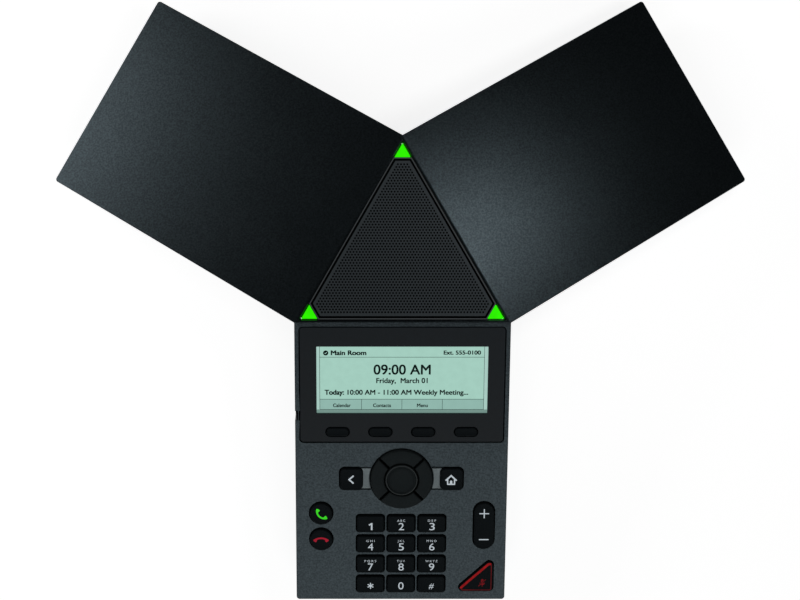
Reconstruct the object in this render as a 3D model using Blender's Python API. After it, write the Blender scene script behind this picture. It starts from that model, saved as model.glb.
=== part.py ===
"""Three-arm conference speakerphone with a display, a dial pad and a loudspeaker hub.

A raised triangular hub carries the loudspeaker grille. Three equal arms slope down from it,
and the front arm carries the display and every key. The z axis points up, the front arm
points along -Y, and the origin is on the table under the middle of the bounding box.
"""

import math

import bmesh
import bpy
from mathutils import Matrix, Vector

MM = 0.001
GAP = 0.3 * MM  # clearance between pieces that touch

# Body: a triangular hub plane and three sloped arms as wide as the hub's sides
ARM_WIDTH = 102.14 * MM
ARM_LENGTH = 137.33 * MM  # in plan, from the fold at the hub to the end face
HUB_TOP = 64.0 * MM
TIP_TOP = 27.0 * MM
CORNER_RADIUS = 1.5 * MM
EDGE_CHAMFER = 0.5 * MM
WALL = 3.0 * MM
SKIRT = 12.0 * MM
CUT = 6.0 * MM  # how far a cutting tool reaches beyond the surface it opens
HUB_INRADIUS = ARM_WIDTH / (2 * math.sqrt(3))
REACH = HUB_INRADIUS + ARM_LENGTH
DROP = (HUB_TOP - TIP_TOP) / ARM_LENGTH
SLOPE = math.atan(DROP)
ARM_DIRECTIONS = {"front": -90, "right": 30, "left": 150}
VERTEX_DIRECTIONS = {"rear": 90, "left": 210, "right": 330}

# The rear corners reach this far behind the hub axis, and the origin is midway
REAR_REACH = (
    (REACH - CORNER_RADIUS) * math.sin(math.radians(30))
    + (ARM_WIDTH / 2 - CORNER_RADIUS) * math.cos(math.radians(30))
    + CORNER_RADIUS
)
HUB_Y = (REACH - REAR_REACH) / 2

# Lower tray
FLOOR_LOW = 2.5 * MM
FLOOR_HIGH = 5.0 * MM
TRAY_WALL = 2.2 * MM
TRAY_RIM_INSET = WALL + GAP
TRAY_FLOOR_INSET = 10.0 * MM
TRAY_LIP = 2.0 * MM  # how far the tray's rim reaches up inside the skirt
MERGE = 0.5 * MM  # how far an added solid sinks into the one that carries it
PEG_RADIUS = 2.5 * MM
PEG_ACROSS = (-28.0 * MM, 28.0 * MM)
PEG_ALONG = (-18.0 * MM, 28.0 * MM)

# Housing screws and their bosses, two on each arm
SCREW_ALONG = 61.8 * MM  # in plan, from the fold
SCREW_ACROSS = 33.0 * MM
BOSS_RADIUS = 3.5 * MM
BOSS_FOOT = 7.3 * MM
PILOT_RADIUS = 1.5 * MM
SHANK_RADIUS = 1.2 * MM
SHANK_TOP = 17.0 * MM
HEAD_RADIUS = 2.8 * MM
HEAD_LOW = 2.7 * MM
HEAD_HIGH = 4.5 * MM
SEAT_RADIUS = 5.0 * MM
SEAT_TOP = BOSS_FOOT - GAP

# Feet
FOOT_ALONG = 112.0 * MM
FOOT_LENGTH = 58.0 * MM
FOOT_WIDTH = 11.0 * MM
FOOT_TOP = 3.2 * MM
FOOT_CORNER = 4.0 * MM
FOOT_CHAMFER = 0.5 * MM

# Loudspeaker hub
GRILLE_BORDER = 1.2 * MM
GRILLE_GAP = 0.4 * MM
GRILLE_THICKNESS = 0.8 * MM
GRILLE_RECESS = GRILLE_THICKNESS + GAP
LED_CENTRE = 50.85 * MM
LED_SIDE = 7.4 * MM
LED_BOTTOM = 58.5 * MM
LED_GAP = 0.35 * MM
SOUND_HOLE_RADIUS = 25.0 * MM
SPEAKER_RIM_Z = HUB_TOP - WALL - GAP
ENCLOSURE_RADIUS = 29.0 * MM
ENCLOSURE_FLOOR = 28.0 * MM
ENCLOSURE_WALL = 2.0 * MM

# Loudspeaker profiles: radius and depth under the rim, in mm, upwards and around the section
BASKET_PROFILE = (
    (13.0, 15.0),
    (23.0, 3.0),
    (26.0, 1.5),
    (26.0, 0.0),
    (23.0, 0.0),
    (21.5, 3.0),
    (12.0, 13.5),
)
MAGNET_PROFILE = ((14.0, 27.0), (15.0, 26.0), (15.0, 16.3), (14.0, 15.3))
CONE_PROFILE = (
    (7.0, 10.6),
    (18.5, 4.4),
    (20.0, 2.6),
    (21.5, 2.6),
    (20.0, 1.6),
    (18.2, 3.4),
    (7.5, 9.4),
    (4.0, 7.6),
)

# Rear port bay and its sockets, from the hub axis
BAY_HALF_WIDTH = 20.0 * MM
BAY_BACK = 36.0 * MM
BAY_LOW = 6.0 * MM
BAY_HIGH = 26.0 * MM
BAY_WALL = 2.0 * MM
BAY_SINK = 0.8 * MM  # the bay's walls end this far inside the tray's outer face
SOCKET_FACE = BAY_BACK - GAP
SOCKET_END = 4.0 * MM
BOARD_LOW = 7.0 * MM
BOARD_HIGH = 8.6 * MM
SOCKET_LOW = BOARD_HIGH + GAP
BOARD_FRONT = -22.0 * MM
BOARD_SIDE = 32.0 * MM

# name: (middle x, width, height, length, wall)
SOCKETS = {
    "ethernet_socket": (-8.0 * MM, 16.0 * MM, 13.4 * MM, 20.0 * MM, 2.1 * MM),
    "usb_socket": (10.5 * MM, 14.4 * MM, 7.2 * MM, 14.0 * MM, 0.9 * MM),
}

# Display, measured on the front arm's slope from the fold
WINDOW_WIDTH = 97.2 * MM
WINDOW_START = 2.33 * MM
WINDOW_END = 59.74 * MM
WINDOW_MIDDLE = (WINDOW_START + WINDOW_END) / 2
WINDOW_THICKNESS = 1.5 * MM
WINDOW_RECESS = WINDOW_THICKNESS + GAP
WINDOW_CORNER = 1.5 * MM
LCD_CENTRE_DOWN = 28.63 * MM
LCD_OPENING = (83.0 * MM, 36.0 * MM)
LCD_SIZE = (82.4 * MM, 35.4 * MM)
LCD_THICKNESS = 3.0 * MM
LCD_TRAY_SIZE = (90.0 * MM, 41.6 * MM)
LCD_TRAY_BOTTOM = 8.0 * MM

# Keys
KEY_TRAVEL = 0.8 * MM
KEY_RISE = 1.5 * MM
KEY_CHAMFER = 0.45 * MM
KEY_GAP = 0.35 * MM
FLANGE_TOP = WALL * math.cos(SLOPE) + GAP
FLANGE_THICKNESS = 0.8 * MM
FLANGE_OVERHANG = 0.65 * MM
MEMBRANE_TOP = FLANGE_TOP + FLANGE_THICKNESS + KEY_TRAVEL + 0.15 * MM
MEMBRANE_THICKNESS = 0.9 * MM
KEYPAD_BOARD_TOP = MEMBRANE_TOP + MEMBRANE_THICKNESS + GAP
KEYPAD_BOARD_THICKNESS = 1.6 * MM

SOFTKEY_SIZE = (10.9 * MM, 4.3 * MM)
SOFTKEY_CORNER = 2.1 * MM
SOFTKEY_ACROSS = (-30.75 * MM, -10.25 * MM, 10.25 * MM, 30.75 * MM)
SOFTKEY_DOWN = 54.7 * MM
SOFTKEY_RISE = 0.5 * MM
NAV_DOWN = 78.6 * MM
NAV_OUTER = 14.85 * MM
NAV_INNER = 8.4 * MM
NAV_HALF_GAP = 0.55 * MM
NAV_FLANGE = 0.2 * MM  # overhang of the flanges inside the ring
NAV_RISE = 2.2 * MM
NAV_TURNS = {"nav_up": 0, "nav_left": 90, "nav_down": 180, "nav_right": 270}
SELECT_RADIUS = 7.8 * MM
SELECT_FLANGE = 0.1 * MM
SELECT_RISE = 2.5 * MM
SIDE_KEY_ACROSS = 24.2 * MM
SIDE_KEY_SIZE = (10.8 * MM, 11.0 * MM)
SIDE_KEY_CORNER = 2.2 * MM
TRIM_START_GAP = 0.5 * MM  # between the ring's hole and the trim
TRIM_END = 20.6 * MM  # the trim runs into the rounded corners of the side keys
TRIM_HEIGHT = 10.2 * MM
TRIM_THICKNESS = 1.0 * MM
ROUND_KEY_ACROSS = -38.8 * MM
ROUND_KEY_DOWN = {"key_call": 96.55 * MM, "key_hangup": 110.15 * MM}
ROUND_KEY_RADIUS = 5.45 * MM
DIAL_PITCH_ACROSS = 14.9 * MM
DIAL_PITCH_DOWN = 10.66 * MM
DIAL_START_DOWN = 101.86 * MM
DIAL_KEY_SIZE = (13.2 * MM, 8.5 * MM)
DIAL_KEY_CORNER = 1.3 * MM
DIAL_ROWS = (
    ("key_1", "key_2", "key_3"),
    ("key_4", "key_5", "key_6"),
    ("key_7", "key_8", "key_9"),
    ("key_star", "key_0", "key_hash"),
)
ROCKER_CENTRE = (40.2 * MM, 102.9 * MM)
ROCKER_SIZE = (9.8 * MM, 24.0 * MM)
ROCKER_CORNER = 4.8 * MM
ROCKER_FLANGE_DROP = 0.25 * MM  # room for the flange's high end when the rocker tilts
MUTE_CORNERS = ((26.0, 137.45), (45.05, 137.45), (45.05, 119.6))  # across and down, in mm
MUTE_ROUNDING = 1.8 * MM

# Notch in the left edge of the front arm
NOTCH_DOWN = 46.4 * MM
NOTCH_SIZE = (4.2 * MM, 4.4 * MM)
NOTCH_DEPTH = 9.0 * MM

# Keypad membrane and board, and the tail from this board to the main board
BOARD_HALF_WIDTH = 46.3 * MM
BOARD_START_DOWN = 50.9 * MM
BOARD_END_DOWN = 139.0 * MM
BOARD_NOTCH = (-25.5 * MM, 131.0 * MM)
BOARD_HOLE_RADIUS = 4.2 * MM
TAIL_WIDTH = 20.0 * MM
TAIL_THICKNESS = 0.4 * MM
TAIL_START_DOWN = 62.0 * MM
TAIL_END = -16.0 * MM
TAIL_PULL = 42.0 * MM
TAIL_STEPS = 24

# Microphones, behind a sound hole in each arm's end face
MIC_ACROSS = -34.0 * MM
MIC_Z = 21.3 * MM
MIC_RADIUS = 2.4 * MM
MIC_LENGTH = 2.0 * MM
MIC_HOLE_RADIUS = 0.7 * MM

HUB = Matrix.Translation((0, HUB_Y, 0))
FRONT_PANEL = Matrix.Translation((0, HUB_Y - HUB_INRADIUS, HUB_TOP)) @ Matrix.Rotation(SLOPE, 4, "X")

# name: (colour, roughness, metallic)
FINISHES = {
    "charcoal": ((0.030, 0.033, 0.037), 0.55, 0.0),
    "tray_black": ((0.012, 0.012, 0.013), 0.60, 0.0),
    "grille_steel": ((0.045, 0.046, 0.050), 0.45, 0.8),
    "led_green": ((0.05, 0.85, 0.02), 0.30, 0.0),
    "window_gloss": ((0.014, 0.016, 0.018), 0.12, 0.0),
    "lcd_glass": ((0.38, 0.62, 0.53), 0.25, 0.0),
    "frame_white": ((0.70, 0.70, 0.68), 0.50, 0.0),
    "trim_grey": ((0.20, 0.23, 0.24), 0.45, 0.0),
    "key_black": ((0.008, 0.008, 0.009), 0.45, 0.0),
    "silicone": ((0.30, 0.30, 0.30), 0.70, 0.0),
    "board_green": ((0.02, 0.16, 0.06), 0.50, 0.0),
    "socket_metal": ((0.55, 0.55, 0.56), 0.35, 1.0),
    "cone_paper": ((0.02, 0.02, 0.02), 0.80, 0.0),
    "magnet_grey": ((0.10, 0.10, 0.10), 0.50, 0.5),
    "rubber": ((0.010, 0.010, 0.010), 0.85, 0.0),
    "screw_steel": ((0.35, 0.35, 0.36), 0.35, 1.0),
}


def clear_scene():
    for obj in list(bpy.data.objects):
        bpy.data.objects.remove(obj, do_unlink=True)


def finish_material(name):
    """The shared material of a finish, made on first use."""
    material = bpy.data.materials.get(name)
    if material is None:
        colour, roughness, metallic = FINISHES[name]
        material = bpy.data.materials.new(name)
        material.use_nodes = True
        shader = material.node_tree.nodes["Principled BSDF"]
        shader.inputs["Base Color"].default_value = (*colour, 1.0)
        shader.inputs["Roughness"].default_value = roughness
        shader.inputs["Metallic"].default_value = metallic
    return material


def direction(degrees):
    return Vector((math.cos(math.radians(degrees)), math.sin(math.radians(degrees))))


def arm_frame(degrees):
    """Frame of an arm: x runs outwards along it in plan, y across it to its left, z up."""
    return HUB @ Matrix.Rotation(math.radians(degrees), 4, "Z")


def top_height(along):
    """Height of the top surface at a distance from the hub axis, measured along an arm."""
    return HUB_TOP - DROP * max(0.0, along - HUB_INRADIUS)


# Outlines: lists of points in a plane, counter-clockwise


def circle(radius, steps=24, centre=(0.0, 0.0)):
    turn = 2 * math.pi / steps
    return [
        (centre[0] + radius * math.cos(i * turn), centre[1] + radius * math.sin(i * turn))
        for i in range(steps)
    ]


def grown(corners, distance):
    """A polygon with each side moved outwards by a distance."""
    points = [Vector(c) for c in corners]
    result = []
    for before, here, after in zip(points[-1:] + points[:-1], points, points[1:] + points[:1]):
        side_in, side_out = (here - before).normalized(), (after - here).normalized()
        normal_in = Vector((side_in.y, -side_in.x))
        normal_out = Vector((side_out.y, -side_out.x))
        result.append(here + (normal_in + normal_out) * distance / (1 + normal_in.dot(normal_out)))
    return result


def rounded(corners, radius, steps=3):
    """A polygon with each corner replaced by an arc of a given radius."""
    points = [Vector(c) for c in corners]
    result = []
    for before, here, after in zip(points[-1:] + points[:-1], points, points[1:] + points[:1]):
        side_in, side_out = (here - before).normalized(), (after - here).normalized()
        turn = side_in.angle_signed(side_out) * -1
        normal_in = Vector((side_in.y, -side_in.x))
        normal_out = Vector((side_out.y, -side_out.x))
        centre = here - (normal_in + normal_out) * radius / (1 + normal_in.dot(normal_out))
        for i in range(steps + 1):
            normal = Matrix.Rotation(turn * i / steps, 2) @ normal_in
            result.append(tuple(centre + normal * radius))
    return result


def rectangle(width, height):
    return [
        (-width / 2, -height / 2),
        (width / 2, -height / 2),
        (width / 2, height / 2),
        (-width / 2, height / 2),
    ]


def rounded_rectangle(size, radius, grow=0.0, steps=3):
    return rounded(grown(rectangle(*size), grow), radius + grow, steps)


def truncated_triangle(inradius, corner_distance):
    """A triangle pointing along +Y around the origin, its corners cut off at a distance."""
    result = []
    for degrees in VERTEX_DIRECTIONS.values():
        half = (inradius - corner_distance / 2) / math.sin(math.radians(60))
        along = direction(degrees)
        across = Vector((-along.y, along.x))
        result += [along * corner_distance - across * half, along * corner_distance + across * half]
    return result


def small_triangle(side, grow=0.0):
    """An equilateral triangle pointing along +Y around the origin."""
    radius = side / math.sqrt(3)
    return grown([direction(d) * radius for d in VERTEX_DIRECTIONS.values()], grow)


def ring_quarter(outer, inner, half_gap, steps=8):
    """A quarter of a ring around +Y, with straight parallel gaps to its neighbours."""
    result = []
    for radius, sweep in ((outer, 1), (inner, -1)):
        edge = math.radians(45) - math.asin(half_gap / radius)
        for i in range(steps + 1):
            angle = math.pi / 2 + sweep * edge * (2 * i / steps - 1)
            result.append((radius * math.cos(angle), radius * math.sin(angle)))
    return result


# Solids: meshes built through rings of points


def raised(outline, height):
    return [(x, y, height) for x, y in outline]


def loft(rings):
    """A closed solid through rings of points, with a flat cap on the first and the last."""
    bm = bmesh.new()
    verts = [[bm.verts.new(p) for p in ring] for ring in rings]
    count = len(verts[0])
    for low, high in zip(verts, verts[1:]):
        for i in range(count):
            j = (i + 1) % count
            bm.faces.new((low[i], low[j], high[j], high[i]))
    bm.faces.new(list(reversed(verts[0])))
    bm.faces.new(verts[-1])
    return bm


def prism(outline, low, high):
    return loft([raised(outline, low), raised(outline, high)])


def box(low, high):
    low, high = Vector(low), Vector(high)
    size = high - low
    bm = prism(rectangle(size.x, size.y), -size.z / 2, size.z / 2)
    bmesh.ops.translate(bm, verts=bm.verts, vec=(low + high) / 2)
    return bm


def body_ring(inset, height):
    """Points around the three-arm outline, moved inwards by an inset.

    Each arm gives its fold point, its two rounded end corners and its other fold point, and
    each notch between two arms gives one more. height maps the top surface to the ring.
    """
    half = ARM_WIDTH / 2 - inset
    end = REACH - inset
    ring = []
    for degrees in sorted(ARM_DIRECTIONS.values()):
        turn = Matrix.Rotation(math.radians(degrees), 2)
        corners = [(HUB_INRADIUS, -half), (end, -half), (end, half), (HUB_INRADIUS, half)]
        arcs = rounded(corners, CORNER_RADIUS)
        end_arcs = arcs[len(arcs) // 4 : -len(arcs) // 4]
        outline = [corners[0]] + end_arcs + [corners[3]]
        outline.append(direction(60) * half / math.sin(math.radians(60)))
        for point in outline:
            place = turn @ Vector(point)
            ring.append((place.x, place.y + HUB_Y, height(top_height(point[0]))))
    return ring


def body_solid(sections):
    """A closed solid with the three-arm outline, through (inset, height) sections."""
    bm = bmesh.new()
    rings = [[bm.verts.new(p) for p in body_ring(inset, height)] for inset, height in sections]
    count = len(rings[0])
    for low, high in zip(rings, rings[1:]):
        for i in range(count):
            j = (i + 1) % count
            bm.faces.new((low[i], low[j], high[j], high[i]))
    per_arm = count // 3
    for ring, flip in ((rings[0], True), (rings[-1], False)):
        faces = [ring[a * per_arm : a * per_arm + per_arm - 1] for a in range(3)]
        hub = []
        for a in range(3):
            arm = ring[a * per_arm : (a + 1) * per_arm]
            hub += [arm[0], arm[-2], arm[-1]]
        for face in faces + [hub]:
            bm.faces.new(list(reversed(face)) if flip else face)
    bmesh.ops.remove_doubles(bm, verts=bm.verts, dist=1e-6)
    return bm


def make(name, bm, finish, frame=Matrix.Identity(4), smooth=False):
    """An object from a mesh built in its own frame."""
    bmesh.ops.recalc_face_normals(bm, faces=bm.faces)
    mesh = bpy.data.meshes.new(name)
    bm.to_mesh(mesh)
    bm.free()
    mesh.materials.append(finish_material(finish))
    if smooth:
        mesh.shade_smooth()
        mesh.set_sharp_from_angle(angle=math.radians(35))
    obj = bpy.data.objects.new(name, mesh)
    obj.matrix_world = frame
    bpy.context.scene.collection.objects.link(obj)
    return obj


def combine(target, bm, operation, frame=Matrix.Identity(4)):
    """Join a tool solid to an object, cut it away or keep what they share."""
    tool = make("tool", bm, "charcoal", frame)
    modifier = target.modifiers.new(operation, "BOOLEAN")
    modifier.operation = operation
    modifier.solver = "EXACT"
    modifier.object = tool
    bpy.context.view_layer.update()
    evaluated = target.evaluated_get(bpy.context.evaluated_depsgraph_get())
    mesh = bpy.data.meshes.new_from_object(evaluated)
    target.modifiers.clear()
    target.data = mesh
    bpy.data.objects.remove(tool, do_unlink=True)


def cut(target, bm, frame=Matrix.Identity(4)):
    combine(target, bm, "DIFFERENCE", frame)


def add(target, bm, frame=Matrix.Identity(4)):
    combine(target, bm, "UNION", frame)


def on_panel(across, down, turn_degrees=0.0):
    """Frame of a feature on the front arm: z leaves the surface and y points up the slope."""
    turn = Matrix.Rotation(math.radians(turn_degrees), 4, "Z")
    return FRONT_PANEL @ Matrix.Translation((across, -down, 0)) @ turn


# Keys: every key has a cap that stands in a hole and a wider flange under the housing


def key_outlines():
    """name: (frame, outline as a function of how far it is grown, rise)."""
    keys = {}
    for i, across in enumerate(SOFTKEY_ACROSS, 1):
        pill = lambda grow: rounded_rectangle(SOFTKEY_SIZE, SOFTKEY_CORNER, grow, 4)
        keys[f"softkey_{i}"] = (on_panel(across, SOFTKEY_DOWN), pill, SOFTKEY_RISE)
    for name, degrees in NAV_TURNS.items():
        keys[name] = (on_panel(0, NAV_DOWN, degrees), nav_quarter, NAV_RISE)
    select = lambda grow: circle(SELECT_RADIUS + min(grow, SELECT_FLANGE), 32)
    keys["nav_select"] = (on_panel(0, NAV_DOWN), select, SELECT_RISE)
    for name, side in (("key_back", -1), ("key_home", 1)):
        square = lambda grow: rounded_rectangle(SIDE_KEY_SIZE, SIDE_KEY_CORNER, grow)
        keys[name] = (on_panel(side * SIDE_KEY_ACROSS, NAV_DOWN), square, KEY_RISE)
    for name, down in ROUND_KEY_DOWN.items():
        disc = lambda grow: circle(ROUND_KEY_RADIUS + grow)
        keys[name] = (on_panel(ROUND_KEY_ACROSS, down), disc, KEY_RISE)
    for row, names in enumerate(DIAL_ROWS):
        for column, name in enumerate(names):
            place = on_panel((column - 1) * DIAL_PITCH_ACROSS, DIAL_START_DOWN + row * DIAL_PITCH_DOWN)
            dial = lambda grow: rounded_rectangle(DIAL_KEY_SIZE, DIAL_KEY_CORNER, grow)
            keys[name] = (place, dial, KEY_RISE)
    stadium = lambda grow: rounded_rectangle(ROCKER_SIZE, ROCKER_CORNER, grow, 6)
    keys["volume_rocker"] = (on_panel(*ROCKER_CENTRE), stadium, KEY_RISE)
    corners = [Vector((across, -down)) * MM for across, down in MUTE_CORNERS]
    middle = sum(corners, Vector((0, 0))) / 3
    corners = [c - middle for c in corners]
    wedge = lambda grow: rounded(grown(corners, grow), MUTE_ROUNDING + grow, 4)
    keys["key_mute"] = (on_panel(middle.x, -middle.y), wedge, KEY_RISE)
    return keys


def nav_quarter(grow):
    """The upper quarter of the navigation ring; its inner sides have only a narrow flange."""
    inward = min(grow, NAV_FLANGE)
    return ring_quarter(NAV_OUTER + grow, NAV_INNER - inward, NAV_HALF_GAP - inward)


def make_key(name, frame, outline, rise):
    flange_top = -FLANGE_TOP
    if name == "volume_rocker":
        flange_top -= ROCKER_FLANGE_DROP
    rings = [
        raised(outline(FLANGE_OVERHANG), flange_top - FLANGE_THICKNESS),
        raised(outline(FLANGE_OVERHANG), flange_top),
        raised(outline(0.0), flange_top),
        raised(outline(0.0), rise - KEY_CHAMFER),
        raised(outline(-KEY_CHAMFER), rise),
    ]
    make(name, loft(rings), "key_black", frame)


def cut_key_holes(target, keys, only=""):
    for name, (frame, outline, _) in keys.items():
        if name.startswith(only) and not name.startswith("nav"):
            cut(target, prism(outline(KEY_GAP), -CUT, CUT), frame)


# Housings


def make_top_housing(keys):
    top = lambda z: z
    skirt_edge = lambda z: z - SKIRT
    shell = body_solid(
        [(0.0, skirt_edge), (0.0, lambda z: z - EDGE_CHAMFER), (EDGE_CHAMFER, top)]
    )
    housing = make("top_housing", shell, "charcoal")
    cut(housing, body_solid([(WALL, lambda z: z - 2 * SKIRT), (WALL, lambda z: z - WALL)]))
    for place in screw_places():
        roof = top_height(HUB_INRADIUS + SCREW_ALONG) - WALL / 2
        add(housing, prism(circle(BOSS_RADIUS), BOSS_FOOT, roof), place)
        cut(housing, prism(circle(PILOT_RADIUS, 12), 0.0, SHANK_TOP + 1.0 * MM), place)
    recess = small_triangle((HUB_INRADIUS - GRILLE_BORDER) * 2 * math.sqrt(3))
    cut(housing, prism(recess, HUB_TOP - GRILLE_RECESS, HUB_TOP + CUT), HUB)
    cut(housing, prism(circle(SOUND_HOLE_RADIUS, 36), HUB_TOP - CUT, HUB_TOP), HUB)
    for place in led_places():
        cut(housing, prism(small_triangle(LED_SIDE, LED_GAP), HUB_TOP - CUT, HUB_TOP), place)
    cut(housing, prism(window_outline(GAP), -WINDOW_RECESS, CUT), on_panel(0, WINDOW_MIDDLE))
    cut(housing, prism(rectangle(*LCD_OPENING), -CUT, CUT), on_panel(0, LCD_CENTRE_DOWN))
    cut(housing, prism(circle(NAV_OUTER + KEY_GAP, 48), -CUT, CUT), on_panel(0, NAV_DOWN))
    cut_key_holes(housing, keys)
    for side in (-1, 1):
        recess = trim_outline(side, GAP)
        cut(housing, prism(recess, -TRIM_THICKNESS - GAP, CUT), on_panel(0, NAV_DOWN))
    notch = on_panel(-ARM_WIDTH / 2, NOTCH_DOWN)
    cut(housing, prism(rectangle(*NOTCH_SIZE), -NOTCH_DEPTH, CUT), notch)
    for degrees in ARM_DIRECTIONS.values():
        cut(housing, prism(circle(MIC_HOLE_RADIUS, 8), -WALL, WALL * 2), mic_frame(degrees))


def window_outline(grow):
    size = (WINDOW_WIDTH, WINDOW_END - WINDOW_START)
    return rounded_rectangle(size, WINDOW_CORNER, grow)


def trim_outline(side, grow):
    """The trim from the navigation ring to the key beside it, before the key's hole."""
    inner = NAV_OUTER + KEY_GAP + TRIM_START_GAP - grow
    half = TRIM_HEIGHT / 2 + grow
    sweep = math.asin(half / inner)
    arc = [sweep * (1 - i / 3) for i in range(7)]
    outline = [(side * (TRIM_END + grow), -half), (side * (TRIM_END + grow), half)]
    outline += [(side * inner * math.cos(a), inner * math.sin(a)) for a in arc]
    return outline if side > 0 else list(reversed(outline))


def make_bottom_housing():
    floor_low = lambda z: FLOOR_LOW
    floor_high = lambda z: FLOOR_HIGH
    seam = lambda z: z - SKIRT
    rim = lambda z: z - SKIRT + TRAY_LIP
    outside = [(TRAY_FLOOR_INSET, floor_low), (TRAY_RIM_INSET, seam), (TRAY_RIM_INSET, rim)]
    tray = make("bottom_housing", body_solid(outside), "tray_black")
    inside = [
        (TRAY_FLOOR_INSET + TRAY_WALL, floor_high),
        (TRAY_RIM_INSET + TRAY_WALL, seam),
        (TRAY_RIM_INSET + TRAY_WALL, lambda z: z),
    ]
    cut(tray, body_solid(inside))
    cut(tray, bay_block(GAP))
    make_port_bay(outside)
    for place in screw_places():
        add(tray, prism(circle(SEAT_RADIUS), FLOOR_HIGH - MERGE, SEAT_TOP), place)
        cut(tray, prism(circle(HEAD_RADIUS + GAP), 0.0, HEAD_HIGH + GAP), place)
        cut(tray, prism(circle(PILOT_RADIUS, 16), 0.0, 2 * SEAT_TOP), place)
    for x in PEG_ACROSS:
        for y in PEG_ALONG:
            peg = circle(PEG_RADIUS, 12, (x, y))
            add(tray, prism(peg, FLOOR_HIGH - MERGE, BOARD_LOW - GAP), HUB)
    for degrees in ARM_DIRECTIONS.values():
        cut(tray, prism(foot_outline(GAP), 0.0, FOOT_TOP + GAP), foot_place(degrees))


def foot_outline(grow):
    return rounded_rectangle((FOOT_WIDTH, FOOT_LENGTH), FOOT_CORNER, grow)


def foot_place(degrees):
    return arm_frame(degrees) @ Matrix.Translation((HUB_INRADIUS + FOOT_ALONG, 0, 0))


def bay_block(grow=0.0):
    """The block that the port bay is cut from, running out past the notch between the rear arms."""
    half = BAY_HALF_WIDTH + BAY_WALL + grow
    back = HUB_Y + BAY_BACK - BAY_WALL - grow
    return box((-half, back, 0.0), (half, HUB_Y + REACH, BAY_HIGH + BAY_WALL + grow))


def make_port_bay(outside):
    """A recessed insert in the tray's rear notch, with holes for the two sockets."""
    bay = make("port_bay", bay_block(), "tray_black")
    combine(bay, body_solid([(inset + BAY_SINK, z) for inset, z in outside]), "INTERSECT")
    low = (-BAY_HALF_WIDTH, HUB_Y + BAY_BACK, BAY_LOW)
    cut(bay, box(low, (BAY_HALF_WIDTH, HUB_Y + REACH, BAY_HIGH)))
    for middle, width, height, _, _ in SOCKETS.values():
        low = (middle - width / 2 - GAP, HUB_Y + BAY_BACK - 2 * BAY_WALL, SOCKET_LOW - GAP)
        high = (middle + width / 2 + GAP, HUB_Y + BAY_BACK + BAY_WALL, SOCKET_LOW + height + GAP)
        cut(bay, box(low, high))


def screw_places():
    """Frames on the screws' axes, two on each arm."""
    places = []
    for degrees in ARM_DIRECTIONS.values():
        for side in (-1, 1):
            shift = (HUB_INRADIUS + SCREW_ALONG, side * SCREW_ACROSS, 0)
            places.append(arm_frame(degrees) @ Matrix.Translation(shift))
    return places


def led_places():
    places = []
    for degrees in VERTEX_DIRECTIONS.values():
        x, y = direction(degrees) * LED_CENTRE
        places.append(HUB @ Matrix.Translation((x, y, 0)))
    return places


def mic_frame(degrees):
    """Frame on a microphone's axis: z points out through the arm's end face."""
    out = Matrix.Rotation(math.radians(90), 4, "Y")
    return arm_frame(degrees) @ Matrix.Translation((REACH - WALL, MIC_ACROSS, MIC_Z)) @ out


def make_socket(name):
    """A box open towards the back of the phone."""
    middle, width, height, length, wall = SOCKETS[name]
    outer, inner = rectangle(width, height), rectangle(width - 2 * wall, height - 2 * wall)
    rings = [raised(outer, -length), raised(outer, 0), raised(inner, 0)]
    rings.append(raised(inner, -length + SOCKET_END))
    face_back = Matrix.Rotation(math.radians(-90), 4, "X")
    place = Matrix.Translation((middle, HUB_Y + SOCKET_FACE, SOCKET_LOW + height / 2))
    make(name, loft(rings), "socket_metal", place @ face_back)


def make_screws():
    rings = [
        raised(circle(HEAD_RADIUS, 16), HEAD_LOW),
        raised(circle(HEAD_RADIUS, 16), HEAD_HIGH),
        raised(circle(SHANK_RADIUS, 16), HEAD_HIGH),
        raised(circle(SHANK_RADIUS, 16), SHANK_TOP),
    ]
    for i, place in enumerate(screw_places(), 1):
        make(f"housing_screw_{i}", loft(rings), "screw_steel", place, smooth=True)


def make_feet():
    pad = foot_outline(0.0)
    rings = [raised(foot_outline(-FOOT_CHAMFER), 0.0), raised(pad, FOOT_CHAMFER), raised(pad, FOOT_TOP)]
    for name, degrees in ARM_DIRECTIONS.items():
        make(f"foot_{name}", loft(rings), "rubber", foot_place(degrees))


# Hub: grille, status lights and loudspeaker


def make_grille():
    inradius = HUB_INRADIUS - GRILLE_BORDER - GRILLE_GAP
    corner_distance = LED_CENTRE - LED_SIDE / (2 * math.sqrt(3)) - GRILLE_GAP
    plate = truncated_triangle(inradius, corner_distance)
    make("speaker_grille", prism(plate, HUB_TOP - GRILLE_THICKNESS, HUB_TOP), "grille_steel", HUB)


def make_leds():
    for name, place in zip(VERTEX_DIRECTIONS, led_places()):
        make(f"led_lens_{name}", prism(small_triangle(LED_SIDE), LED_BOTTOM, HUB_TOP), "led_green", place)


def turned(name, profile, finish):
    """A solid turned around the hub axis, through (radius, height) points."""
    rings = [raised(circle(radius), height) for radius, height in profile]
    make(name, loft(rings), finish, HUB, smooth=True)


def under_rim(profile):
    """A profile in mm under the loudspeaker's rim, as (radius, height) points."""
    return [(radius * MM, SPEAKER_RIM_Z - depth * MM) for radius, depth in profile]


def make_loudspeaker():
    inner = ENCLOSURE_RADIUS - ENCLOSURE_WALL
    cup = [(ENCLOSURE_RADIUS, ENCLOSURE_FLOOR), (ENCLOSURE_RADIUS, SPEAKER_RIM_Z)]
    cup += [(inner, SPEAKER_RIM_Z), (inner, ENCLOSURE_FLOOR + ENCLOSURE_WALL)]
    turned("speaker_enclosure", cup, "tray_black")
    turned("speaker_basket", under_rim(BASKET_PROFILE), "magnet_grey")
    turned("speaker_magnet", under_rim(MAGNET_PROFILE), "magnet_grey")
    turned("speaker_cone", under_rim(CONE_PROFILE), "cone_paper")


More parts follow.
